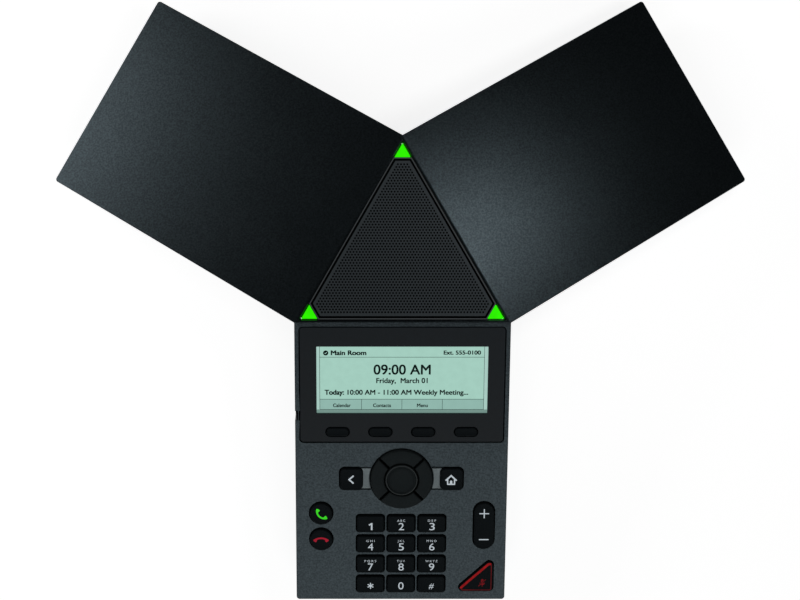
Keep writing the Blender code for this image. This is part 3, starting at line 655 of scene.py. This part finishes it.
def build_cap(name, place, outline, top, bottom, radius, dish=0.0, reach=2.0 * MM):
    flange_top = bottom + FLANGE_THICKNESS
    rings = [raised(outline(FLANGE_OVERHANG), bottom), raised(outline(FLANGE_OVERHANG), flange_top)]
    rings.append(raised(outline(0.0), flange_top))
    rings += fillet_rings(outline, top, radius)
    for i in range(1, 4):
        share = i / 3
        inward = radius + share * reach
        rings.append(raised(outline(-inward), top - dish * (share * share * (3 - 2 * share))))
    cap = piece(f"{name}_cap", loft(rings), "key", place, f"{name}_body", 40.0)
    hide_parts(name)
    return cap


def build_keys():
    for name, (middle, outline, top, bottom, turn) in KEYS.items():
        place = on_panel(middle.x, middle.y)
        if name.startswith("softkey"):
            build_cap(name, place, outline, top, bottom, 0.45 * MM, 0.1 * MM, 1.0 * MM)
        else:
            build_cap(name, place, outline, top, bottom, 0.45 * MM, DISH, 0.55 * MM)
    build_cap(
        "key_mute", on_panel(0, 0), mute_outline, MUTE_HIGH.z, MUTE_LOW.z, 0.5 * MM, 0.0, 1.0 * MM
    )
    for name, turn in (("nav_up", 0), ("nav_left", 90), ("nav_down", 180), ("nav_right", 270)):
        low, high = panel_box(name)
        quarter = lambda grow: ring_quarter(
            NAV_OUTER + grow, NAV_INNER - min(grow, 0.2 * MM), NAV_HALF_GAP - min(grow, 0.2 * MM)
        )
        place = on_panel(0, NAV_UP, 0, turn)
        flange_top = low.z + FLANGE_THICKNESS
        rings = [raised(quarter(FLANGE_OVERHANG), low.z), raised(quarter(FLANGE_OVERHANG), flange_top)]
        rings.append(raised(quarter(0.0), flange_top))
        rings += fillet_rings(quarter, high.z, 0.6 * MM, 5)
        cap = piece(f"{name}_cap", loft(rings), "nav_key", place, f"{name}_body", 40.0)
        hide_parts(name)
    build_select()


def build_select():
    """The round middle key: a raised rim, a fine groove and a slightly dished middle, with a painted
    highlight: a thin lighter ring on the rim's crest.
    """
    low, high = panel_box("nav_select")
    top, bottom = high.z, low.z
    profile = [(SELECT_RADIUS + 0.1 * MM, bottom), (SELECT_RADIUS + 0.1 * MM, bottom + FLANGE_THICKNESS)]
    profile += [(SELECT_RADIUS, bottom + FLANGE_THICKNESS)]
    for i in range(6):
        angle = math.pi / 2 * i / 5
        profile.append(
            (SELECT_RADIUS - 0.4 * MM * (1 - math.cos(angle)), top - 0.4 * MM * (1 - math.sin(angle)))
        )
    profile += [(7.05 * MM, top - 0.02 * MM), (6.85 * MM, top - 0.2 * MM), (6.6 * MM, top - 0.75 * MM)]
    profile += [(6.3 * MM, top - 0.8 * MM), (5.95 * MM, top - 0.7 * MM), (5.6 * MM, top - 0.62 * MM)]
    profile += [(5.6 * MM * (1 - i / 6), top - (0.62 + 0.12 * i / 6) * MM) for i in range(1, 6)]
    rings = [raised(circle(radius, 96), height) for radius, height in profile]
    cap = piece(
        "nav_select_cap", loft(rings), "nav_key", on_panel(0, NAV_UP), "nav_select_body", 40.0
    )
    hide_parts("nav_select")
    # A thin ring in a lighter material on the rim's crest: a painted highlight.
    outer = raised(circle(7.55 * MM, 96), top)
    inner = raised(circle(7.2 * MM, 96), top)
    crest = bmesh.new()
    rings = [
        [crest.verts.new((x, y, z + lift)) for x, y, z in ring]
        for ring, lift in ((outer, 0), (outer, PRINT), (inner, PRINT), (inner, 0))
    ]
    for ring, following in zip(rings, rings[1:] + rings[:1]):
        for i in range(96):
            k = (i + 1) % 96
            crest.faces.new((ring[i], ring[k], following[k], following[i]))
    piece("nav_select_crest_highlight", crest, "nav_crest_highlight", on_panel(0, NAV_UP), "nav_select_body")


# ---------------------------------------------------------------- legends and icons

PRINT = 0.04 * MM  # thickness of printed legends
DISH = 0.08 * MM  # depth of the hollow in a key's top


def letter_mesh(name, words, height, bold=0.0, spacing=1.0):
    """Flat letters as a mesh, scaled so that a capital H has a given height."""
    curve = bpy.data.curves.new(name, "FONT")
    curve.body = words
    curve.size = 1.0
    curve.space_character = spacing
    curve.resolution_u = 5
    curve.extrude = 0.5
    text = bpy.data.objects.new(name, curve)
    bpy.context.scene.collection.objects.link(text)
    bpy.context.view_layer.update()
    mesh = bpy.data.meshes.new_from_object(text.evaluated_get(bpy.context.evaluated_depsgraph_get()))
    bpy.data.objects.remove(text, do_unlink=True)
    bpy.data.curves.remove(curve)
    scale = height / CAPITAL_HEIGHT
    mesh.transform(Matrix.Diagonal((scale, scale, PRINT, 1.0)))
    if bold:
        thicken(mesh, bold)
    return mesh


def thicken(mesh, amount):
    """Heavier strokes: copies of the letters, shifted a little each way."""
    bm = bmesh.new()
    for x, y in ((-1, -0.6), (-1, 0.6), (1, -0.6), (1, 0.6)):
        shifted = mesh.copy()
        shifted.transform(Matrix.Translation((x * amount / 2, y * amount / 2, (x + y / 4) * amount / 100)))
        bm.from_mesh(shifted)
        bpy.data.meshes.remove(shifted)
    bm.to_mesh(mesh)
    bm.free()


def capital_height():
    curve = bpy.data.curves.new("H", "FONT")
    curve.body = "H"
    text = bpy.data.objects.new("H", curve)
    bpy.context.scene.collection.objects.link(text)
    bpy.context.view_layer.update()
    mesh = bpy.data.meshes.new_from_object(text.evaluated_get(bpy.context.evaluated_depsgraph_get()))
    bpy.data.objects.remove(text, do_unlink=True)
    heights = [v.co.y for v in mesh.vertices]
    bpy.data.meshes.remove(mesh)
    return max(heights) - min(heights)


CAPITAL_HEIGHT = capital_height()


def write(name, words, height, place, material, body, bold=0.0, width=0.0, slant=0.0, spacing=1.0):
    """Lettering on a surface: place's x runs along the line and its y up through the capitals."""
    mesh = letter_mesh(name, words, height, bold, spacing)
    if slant:
        mesh.transform(Matrix(((1, slant, 0, 0), (0, 1, 0, 0), (0, 0, 1, 0), (0, 0, 0, 1))))
    if width:
        across = [v.co.x for v in mesh.vertices]
        mesh.transform(Matrix.Scale(width / (max(across) - min(across)), 4, (1, 0, 0)))
    left = min(v.co.x for v in mesh.vertices)
    right = max(v.co.x for v in mesh.vertices)
    mesh.transform(Matrix.Translation((-(left + right) / 2, -height / 2, PRINT / 2)))
    mesh.materials.append(MATERIALS[material])
    obj = bpy.data.objects.new(name, mesh)
    bpy.context.scene.collection.objects.link(obj)
    obj.matrix_world = place
    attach(obj, body)
    return obj


def band(points, width, closed=False):
    """A flat band of constant width along a line, as a thin solid."""
    points = [Vector(p) for p in points]
    count = len(points)
    bm = bmesh.new()
    rows = []
    for i, here in enumerate(points):
        before = points[i - 1] if i or closed else None
        after = points[(i + 1) % count] if i < count - 1 or closed else None
        sides = [s for s in ((here - before) if before else None, (after - here) if after else None) if s]
        normals = [Vector((-s.y, s.x)).normalized() for s in sides]
        normal = sum(normals, Vector((0, 0))).normalized()
        reach = width / 2 / max(0.35, normal.dot(normals[0]))
        rows.append([here + normal * reach, here - normal * reach])
    verts = [
        [bm.verts.new((p.x, p.y, z)) for p in row for z in (0.0, PRINT)] for row in rows
    ]
    last = count if closed else count - 1
    for i in range(last):
        a, b = verts[i], verts[(i + 1) % count]
        for first, second in ((0, 1), (1, 3), (3, 2), (2, 0)):
            bm.faces.new((a[first], a[second], b[second], b[first]))
    if not closed:
        bm.faces.new((verts[0][0], verts[0][2], verts[0][3], verts[0][1]))
        bm.faces.new((verts[-1][0], verts[-1][1], verts[-1][3], verts[-1][2]))
    return bm


def arc(centre, radius, start, end, steps=24):
    return [
        (
            centre[0] + radius * math.cos(math.radians(start + (end - start) * i / steps)),
            centre[1] + radius * math.sin(math.radians(start + (end - start) * i / steps)),
        )
        for i in range(steps + 1)
    ]


def handset_outline(length, swell, thin, bow):
    """A telephone handset seen from the side, lying level with its ends pointing down."""
    radius = (length * length / 4 + bow * bow) / (2 * bow)
    half = math.degrees(math.asin(length / 2 / radius))
    steps = 40
    upper, lower = [], []
    for i in range(steps + 1):
        t = 2 * i / steps - 1
        angle = math.radians(90 - half * t)
        spine = Vector((radius * math.cos(angle), radius * math.sin(angle) - radius))
        out = Vector((math.cos(angle), math.sin(angle)))
        ends = 1 / (1 + math.exp(-(abs(t) - 0.62) * 22))
        cap = math.sqrt(max(0.0, 1 - max(0.0, (abs(t) - 0.88) / 0.12) ** 2))
        below = (thin / 2 + (swell - thin / 2) * ends) * max(cap, 0.12)
        above = thin / 2 * max(cap, 0.12)
        upper.append(tuple(spine + out * above))
        lower.append(tuple(spine - out * below))
    return lower + list(reversed(upper))


def key_top(name, across=0.0, up=0.0):
    """Frame in the hollow of a key's top."""
    middle, _, top, _, _ = KEYS[name]
    return on_panel(middle.x + across, middle.y + up, top - DISH)


DIGIT_HEIGHT = 3.7 * MM
DIGIT_UP = -1.2 * MM
BOTTOM_ROW_UP = -0.6 * MM
LETTER_HEIGHT = 1.1 * MM
DIAL_LETTERS = {
    "key_2": ("ABC", 3.9 * MM),
    "key_3": ("DEF", 3.9 * MM),
    "key_4": ("GHI", 4.1 * MM),
    "key_5": ("JKL", 3.3 * MM),
    "key_6": ("MNO", 4.9 * MM),
    "key_7": ("PQRS", 5.7 * MM),
    "key_8": ("TUV", 3.9 * MM),
    "key_9": ("WXYZ", 5.9 * MM),
}
# The figure one, in mm: a stem with a flag
FIGURE_ONE = (
    (0.12, -1.85),
    (0.88, -1.85),
    (0.88, 1.85),
    (0.26, 1.85),
    (-1.0, 1.0),
    (-0.6, 0.42),
    (0.12, 0.92),
)


def build_dial_legends():
    for digit in "234567890":
        key = f"key_{digit}"
        place = key_top(key, 0.1 * MM, BOTTOM_ROW_UP if digit == "0" else DIGIT_UP)
        write(f"legend_{key}", digit, DIGIT_HEIGHT, place, "legend", f"{key}_body", width=2.6 * MM)
    one = prism([(x * MM, y * MM) for x, y in FIGURE_ONE], 0.0, PRINT)
    piece("legend_key_1", one, "legend", key_top("key_1", 0.1 * MM, DIGIT_UP), "key_1_body")
    place = key_top("key_hash", 0.1 * MM, BOTTOM_ROW_UP)
    write(
        "legend_key_hash", "#", 2.9 * MM, place, "legend", "key_hash_body", width=2.5 * MM, slant=0.2
    )
    for key, (letters, width) in DIAL_LETTERS.items():
        place = key_top(key, 0, 1.9 * MM)
        write(
            f"letters_{key}", letters, LETTER_HEIGHT, place, "letters", f"{key}_body",
            width=width, spacing=1.5,
        )
    for i in range(3):
        turn = Matrix.Rotation(math.radians(90 + 60 * i), 4, "Z")
        place = key_top("key_star", 0.1 * MM, BOTTOM_ROW_UP) @ turn
        bar = prism(rectangle(3.2 * MM, 0.5 * MM), 0.0, PRINT)
        piece(f"legend_star_{i + 1}", bar, "legend", place, "key_star_body")


def build_icons():
    def icon(name, bm, material, key, across=0.0, up=0.0, turn=0.0):
        place = key_top(key, across, up) @ Matrix.Rotation(math.radians(turn), 4, "Z")
        piece(name, bm, material, place, f"{key}_body")

    chevron = band([(1.05 * MM, 2.0 * MM), (-1.1 * MM, 0), (1.05 * MM, -2.0 * MM)], 0.72 * MM)
    icon("icon_back", chevron, "legend", "key_back", 0.05 * MM)
    roof = band([(-2.62 * MM, -0.42 * MM), (0, 2.12 * MM), (2.62 * MM, -0.42 * MM)], 0.74 * MM)
    icon("icon_home_roof", roof, "legend", "key_home", -0.3 * MM, -0.1 * MM)
    for name, side in (("left", -1), ("right", 1)):
        half, foot, top = 0.31 * MM, -2.5 * MM, 0.5 * MM
        wall = prism([(-half, foot), (half, foot), (half, top), (-half, top)], 0.0, PRINT)
        across = (side * 1.66 - 0.3) * MM
        icon(f"icon_home_wall_{name}", wall, "legend", "key_home", across, -0.1 * MM)
    sill = rounded_rectangle(3.94 * MM, 0.66 * MM, 0.3 * MM)
    icon("icon_home_sill", prism(sill, 0.0, PRINT * 0.9), "legend", "key_home", -0.3 * MM, -2.4 * MM)
    door = [(-0.58 * MM, -2.4 * MM), (0.58 * MM, -2.4 * MM)] + arc((0, -0.95 * MM), 0.58 * MM, 0, 180, 16)
    icon("icon_home_door", prism(door, 0.0, PRINT * 0.8), "legend", "key_home", -0.3 * MM, -0.1 * MM)

    handset = handset_outline(6.9 * MM, 1.35 * MM, 0.85 * MM, 2.15 * MM)
    icon("icon_call", prism(handset, 0.0, PRINT), "call_green", "key_call", -0.95 * MM, -1.2 * MM, 135)
    handset = handset_outline(7.3 * MM, 1.25 * MM, 0.85 * MM, 1.35 * MM)
    icon("icon_hangup", prism(handset, 0.0, PRINT), "hangup_red", "key_hangup", -0.1 * MM, 0.95 * MM)
    bar = rectangle(4.7 * MM, 0.52 * MM)
    icon("icon_plus_bar", prism(bar, 0.0, PRINT), "legend", "volume_rocker", 0, 6.6 * MM)
    icon("icon_plus_post", prism(bar, 0.0, PRINT * 0.9), "legend", "volume_rocker", 0, 6.6 * MM, 90)
    icon("icon_minus", prism(bar, 0.0, PRINT), "legend", "volume_rocker", 0, -7.0 * MM)


def build_mute_icon():
    """The lit edge of the mute key and its crossed-out microphone."""
    top = MUTE_HIGH.z
    outline = mute_outline(-0.85 * MM)
    third = len(outline) // 3
    # The outline runs along the front edge, up the right side and back down the long slope
    slope = outline[2 * third + third // 3 :] + outline[: third // 2]
    others = outline[third // 2 : 2 * third + third // 3 + 1]

    def mark(name, bm, material, across=0.0, up=0.0, lift=0.0):
        piece(name, bm, material, on_panel(across, up, top + lift), "key_mute_body")

    mark("mute_light_slope", band(slope, 1.15 * MM), "mute_red")
    mark("mute_light_edge", band(others, 0.32 * MM), "mute_dim")
    across, up = 39.9 * MM, -132.9 * MM
    capsule = rounded_rectangle(1.3 * MM, 2.9 * MM, 0.64 * MM)
    mark("icon_mic_capsule", prism(capsule, 0.0, PRINT), "mute_icon", across, up + 0.7 * MM)
    cradle = band(arc((0, 0.2 * MM), 1.15 * MM, 180, 360, 20), 0.28 * MM)
    mark("icon_mic_cradle", cradle, "mute_icon", across, up)
    stem = rectangle(0.3 * MM, 0.9 * MM)
    mark("icon_mic_stem", prism(stem, 0.0, PRINT), "mute_icon", across, up - 1.45 * MM)
    slash = [(-1.9 * MM, -1.7 * MM), (1.7 * MM, 1.9 * MM)]
    mark("icon_mic_slash_edge", band(slash, 0.75 * MM), "key", across, up, PRINT * 0.5)
    mark("icon_mic_slash", band(slash, 0.3 * MM), "mute_icon", across, up, PRINT)


# ---------------------------------------------------------------- display

LCD_HALF_WIDTH = 40.7 * MM
LCD_START, LCD_END = 11.85 * MM, 45.45 * MM
SCREEN_HALF_WIDTH = 39.1 * MM
HEADER_DOWN = 17.6 * MM
BAR_START, BAR_END = 38.7 * MM, 43.9 * MM


def build_window():
    """The gloss plate with its softkey holes and the opening over the display."""
    low, high = panel_box("display_window")
    middle, size = (low + high) / 2, high - low
    plate = prism(rounded_rectangle(size.x, size.y, 1.5 * MM), low.z, high.z)
    window = piece("window_plate", plate, "window", on_panel(middle.x, middle.y), None)
    for name, (spot, outline, _, _, _) in KEYS.items():
        if name.startswith("softkey"):
            cut(window, prism(outline(KEY_GAP), -6 * MM, 6 * MM), on_panel(spot.x, spot.y))
    opening = rectangle(2 * LCD_HALF_WIDTH, LCD_END - LCD_START)
    cut(window, prism(opening, -6 * MM, 6 * MM), on_panel(0, -(LCD_START + LCD_END) / 2))
    window.data.shade_smooth()
    window.data.set_sharp_from_angle(angle=math.radians(12))
    soften(window, 0.15 * MM, 2)
    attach(window, "root")
    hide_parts("display_window")


def build_screen():
    low, high = panel_box("lcd_panel")
    refinish("lcd_panel", "lcd_edge")
    top = high.z

    def at(across, down, lift=0.0):
        return on_panel(across, -down, top + lift)

    def patch(name, left, right, start, end, material, lift=0.0):
        place = at((left + right) / 2, (start + end) / 2, lift)
        bm = prism(rectangle(right - left, end - start), 0.0, PRINT)
        return piece(name, bm, material, place, "root")

    half = SCREEN_HALF_WIDTH
    patch("screen_page", -half, half, 9.5 * MM, LCD_END - 1.1 * MM, "lcd")
    patch(
        "screen_shade", -LCD_HALF_WIDTH, LCD_HALF_WIDTH, BAR_END, LCD_END + 0.3 * MM, "lcd_shade", 0.5 * PRINT
    )
    patch("screen_softkey_bar", -half, half, BAR_START, BAR_END, "lcd_bar", PRINT)
    line = 0.19 * MM
    lines = [("header", -half, half, HEADER_DOWN - line / 2, HEADER_DOWN + line / 2)]
    lines += [
        (f"edge_{n}", s * half - line, s * half, 9.5 * MM, BAR_END) for n, s in (("left", -1), ("right", 1))
    ]
    lines += [("bar_top", -half, half, BAR_START - line / 2, BAR_START + line / 2)]
    lines += [("bar_low", -half, half, BAR_END - line / 2, BAR_END + line / 2)]
    for i in (-1, 0, 1):
        across = 19.3 * MM * i
        lines.append((f"bar_{i + 2}", across - line / 2, across + line / 2, BAR_START, BAR_END))
    for name, left, right, start, end in lines:
        patch(f"screen_line_{name}", left, right, start, end, "lcd_line", 2 * PRINT)

    def words(name, text, height, left, right, down, bold=0.0):
        place = at((left + right) / 2 * MM, down * MM, 1.5 * PRINT)
        width = (right - left) * MM
        write(name, text, height * MM, place, "lcd_ink", "root", bold * MM, width)

    words("screen_room", "Main Room", 2.2, -33.9, -17.0, 15.4, 0.26)
    words("screen_extension", "Ext. 555-0100", 1.9, 19.6, 37.3, 15.3, 0.18)
    words("screen_time", "09:00 AM", 4.8, -13.6, 13.6, 23.8, 0.26)
    words("screen_date", "Friday,  March 01", 2.45, -12.3, 12.2, 29.3, 0.2)
    words("screen_today", "Today:", 2.35, -36.9, -27.6, 35.2, 0.28)
    words("screen_entry", "10:00 AM - 11:00 AM Weekly Meeting...", 2.35, -26.0, 31.6, 35.2, 0.2)
    words("screen_softkey_1", "Calendar", 1.7, -32.9, -24.4, 41.8, 0.14)
    words("screen_softkey_2", "Contacts", 1.7, -13.8, -5.2, 41.8, 0.14)
    words("screen_softkey_3", "Menu", 1.7, 7.2, 12.4, 41.8, 0.14)
    disc = prism(circle(1.25 * MM, 40), 0.0, PRINT)
    piece("screen_status_disc", disc, "lcd_ink", at(-36.3 * MM, 15.5 * MM, PRINT), "root")
    tick = band([(-0.5 * MM, 0.05 * MM), (-0.12 * MM, -0.35 * MM), (0.5 * MM, 0.4 * MM)], 0.24 * MM)
    piece("screen_status_tick", tick, "lcd", at(-36.3 * MM, 15.5 * MM, 2 * PRINT), "root")


# ---------------------------------------------------------------- the other frame nodes


def block(name, material, low, high):
    bm = bmesh.new()
    bmesh.ops.create_cube(bm, size=1.0)
    scale = Matrix.Diagonal((*(Vector(high) - Vector(low)), 1.0))
    place = Matrix.Translation((Vector(low) + Vector(high)) / 2)
    bmesh.ops.transform(bm, matrix=place @ scale, verts=bm.verts)
    return piece(name, bm, material, Matrix.Identity(4), "root")


def build_bay_seals():
    """Dark gaskets in the gaps between the port bay's insert and the tray."""
    low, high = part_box("port_bay")
    end = HUB_Y + 58 * MM
    for name, start in (("left", low.x - 0.29 * MM), ("right", high.x + 0.01 * MM)):
        corner = (start + 0.28 * MM, end, high.z)
        block(f"bay_seal_{name}", "tray", (start, low.y, low.z + 0.2 * MM), corner)


def build_sockets():
    """Insides of the two sockets: insulators and gold contacts."""
    low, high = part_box("ethernet_socket")
    wall = 2.15 * MM
    end = low.y + 2.5 * MM
    near = (low.x + wall, low.y + MM, low.z + wall)
    block("ethernet_insulator", "socket_black", near, (high.x - wall, end, high.z - wall))
    middle = (low.x + high.x) / 2
    for i in range(8):
        x = middle + (i - 3.5) * 1.02 * MM
        wire = [
            (x, end, high.z - wall - 2.6 * MM),
            (x, high.y - 7.0 * MM, high.z - wall - 2.2 * MM),
            (x, high.y - 5.0 * MM, high.z - wall - 0.4 * MM),
        ]
        build_wire(f"ethernet_contact_{i + 1}", wire, 0.22 * MM)
    low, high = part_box("usb_socket")
    wall = 0.95 * MM
    near = (low.x + wall, low.y + MM, low.z + wall)
    block("usb_insulator", "socket_black", near, (high.x - wall, low.y + 3 * MM, high.z - wall))
    middle = (low.x + high.x) / 2
    tongue = high.z - wall - 2.6 * MM
    near = (middle - 5.5 * MM, low.y + 2.8 * MM, tongue)
    block("usb_tongue", "socket_black", near, (middle + 5.5 * MM, high.y - 2 * MM, tongue + 1.8 * MM))
    for i in range(4):
        x = middle + (i - 1.5) * 2.2 * MM
        near = (x - 0.5 * MM, low.y + 3.5 * MM, tongue - 0.12 * MM)
        block(f"usb_contact_{i + 1}", "gold", near, (x + 0.5 * MM, high.y - 2.6 * MM, tongue))


def build_wire(name, points, radius, sides=8):
    """A round wire that runs through a few points in one upright plane."""
    points = [Vector(p) for p in points]
    rings = []
    for i, point in enumerate(points):
        along = (points[min(i + 1, len(points) - 1)] - points[max(i - 1, 0)]).normalized()
        across = Vector((1, 0, 0))
        up = across.cross(along)
        rings.append([point + (across * x + up * y) for x, y in circle(radius, sides)])
    piece(name, loft(rings), "gold", Matrix.Identity(4), "root", 60.0)


def refinish_frame():
    refinish("bottom_housing", "tray", 0.4 * MM)
    refinish("port_bay", "tray", 0.3 * MM)
    for name in ("trim_left", "trim_right"):
        refinish(name, "trim", 0.12 * MM)
    for name in ("foot_front", "foot_left", "foot_right"):
        refinish(name, "rubber", 0.3 * MM)
    for i in range(1, 7):
        refinish(f"housing_screw_{i}", "steel")
    for name in ("mic_front", "mic_left", "mic_right"):
        refinish(name, "steel")
    plain = {
        "lcd_backlight_tray": "white_plastic",
        "keypad_membrane": "silicone",
        "keypad_board": "board",
        "main_board": "board",
        "ethernet_socket": "steel",
        "usb_socket": "steel",
        "speaker_enclosure": "tray",
        "speaker_basket": "magnet",
        "speaker_magnet": "magnet",
        "speaker_cone": "paper",
    }
    for name, material in plain.items():
        refinish(name, material)


# ---------------------------------------------------------------- stage


def build_stage():
    """Floor, soft lights and the camera, looking straight down from above the hub."""
    bm = bmesh.new()
    bmesh.ops.create_grid(bm, x_segments=1, y_segments=1, size=6.0)
    mesh = bpy.data.meshes.new("floor")
    bm.to_mesh(mesh)
    bm.free()
    material, tree, shader = new_material("floor")
    shader.inputs["Base Color"].default_value = (0.85, 0.85, 0.85, 1)
    shader.inputs["Roughness"].default_value = 0.9
    shader.inputs["Specular IOR Level"].default_value = 0.0
    shader.inputs["Emission Color"].default_value = (1.0, 1.0, 1.0, 1)
    shader.inputs["Emission Strength"].default_value = 0.85
    mesh.materials.append(material)
    floor = bpy.data.objects.new("floor", mesh)
    bpy.context.scene.collection.objects.link(floor)

    world = bpy.data.worlds.new("studio")
    bpy.context.scene.world = world
    world.use_nodes = True
    backdrop = world.node_tree.nodes["Background"]
    backdrop.inputs["Color"].default_value = (1.0, 1.0, 1.0, 1)
    backdrop.inputs["Strength"].default_value = 0.03

    hub = Vector((0, HUB_Y, HUB_TOP))
    lights = (
        # name, place in metres from the hub, width, height, aim from the hub, radiance
        ("left", (-0.46, 0.205, 0.24), 0.21, 0.18, (-0.14, 0.06, -0.03), 3.2),
        ("right", (0.15, 0.070, 0.24), 0.05, 0.12, (0.05, 0.01, 0.0), 4.6),
        ("front", (0.03, -1.02, 0.95), 0.90, 0.75, (0.0, -0.09, -0.02), 1.05),
    )
    for name, place, width, height, aim, radiance in lights:
        data = bpy.data.lights.new(name, "AREA")
        data.shape = "RECTANGLE"
        data.size = width
        data.size_y = height
        data.energy = radiance * math.pi * width * height
        lamp = bpy.data.objects.new(name, data)
        bpy.context.scene.collection.objects.link(lamp)
        lamp.visible_camera = False
        lamp.location = hub + Vector(place)
        lamp.rotation_euler = (Vector(place) - Vector(aim)).to_track_quat("Z", "Y").to_euler()

    data = bpy.data.cameras.new("camera")
    data.lens = 77.45
    data.sensor_width = 36.0
    data.shift_x = 0.0573
    data.shift_y = -0.0562
    camera = bpy.data.objects.new("camera", data)
    bpy.context.scene.collection.objects.link(camera)
    camera.location = (-22.8 * MM, HUB_Y + 2.4 * MM, HUB_TOP + 809.7 * MM)
    bpy.context.scene.camera = camera
    bpy.context.scene.view_settings.view_transform = "Standard"


build_top_housing()
build_grille()
build_leds()
build_keys()
build_dial_legends()
build_icons()
build_mute_icon()
build_window()
build_screen()
build_bay_seals()
build_sockets()
refinish_frame()
build_stage()
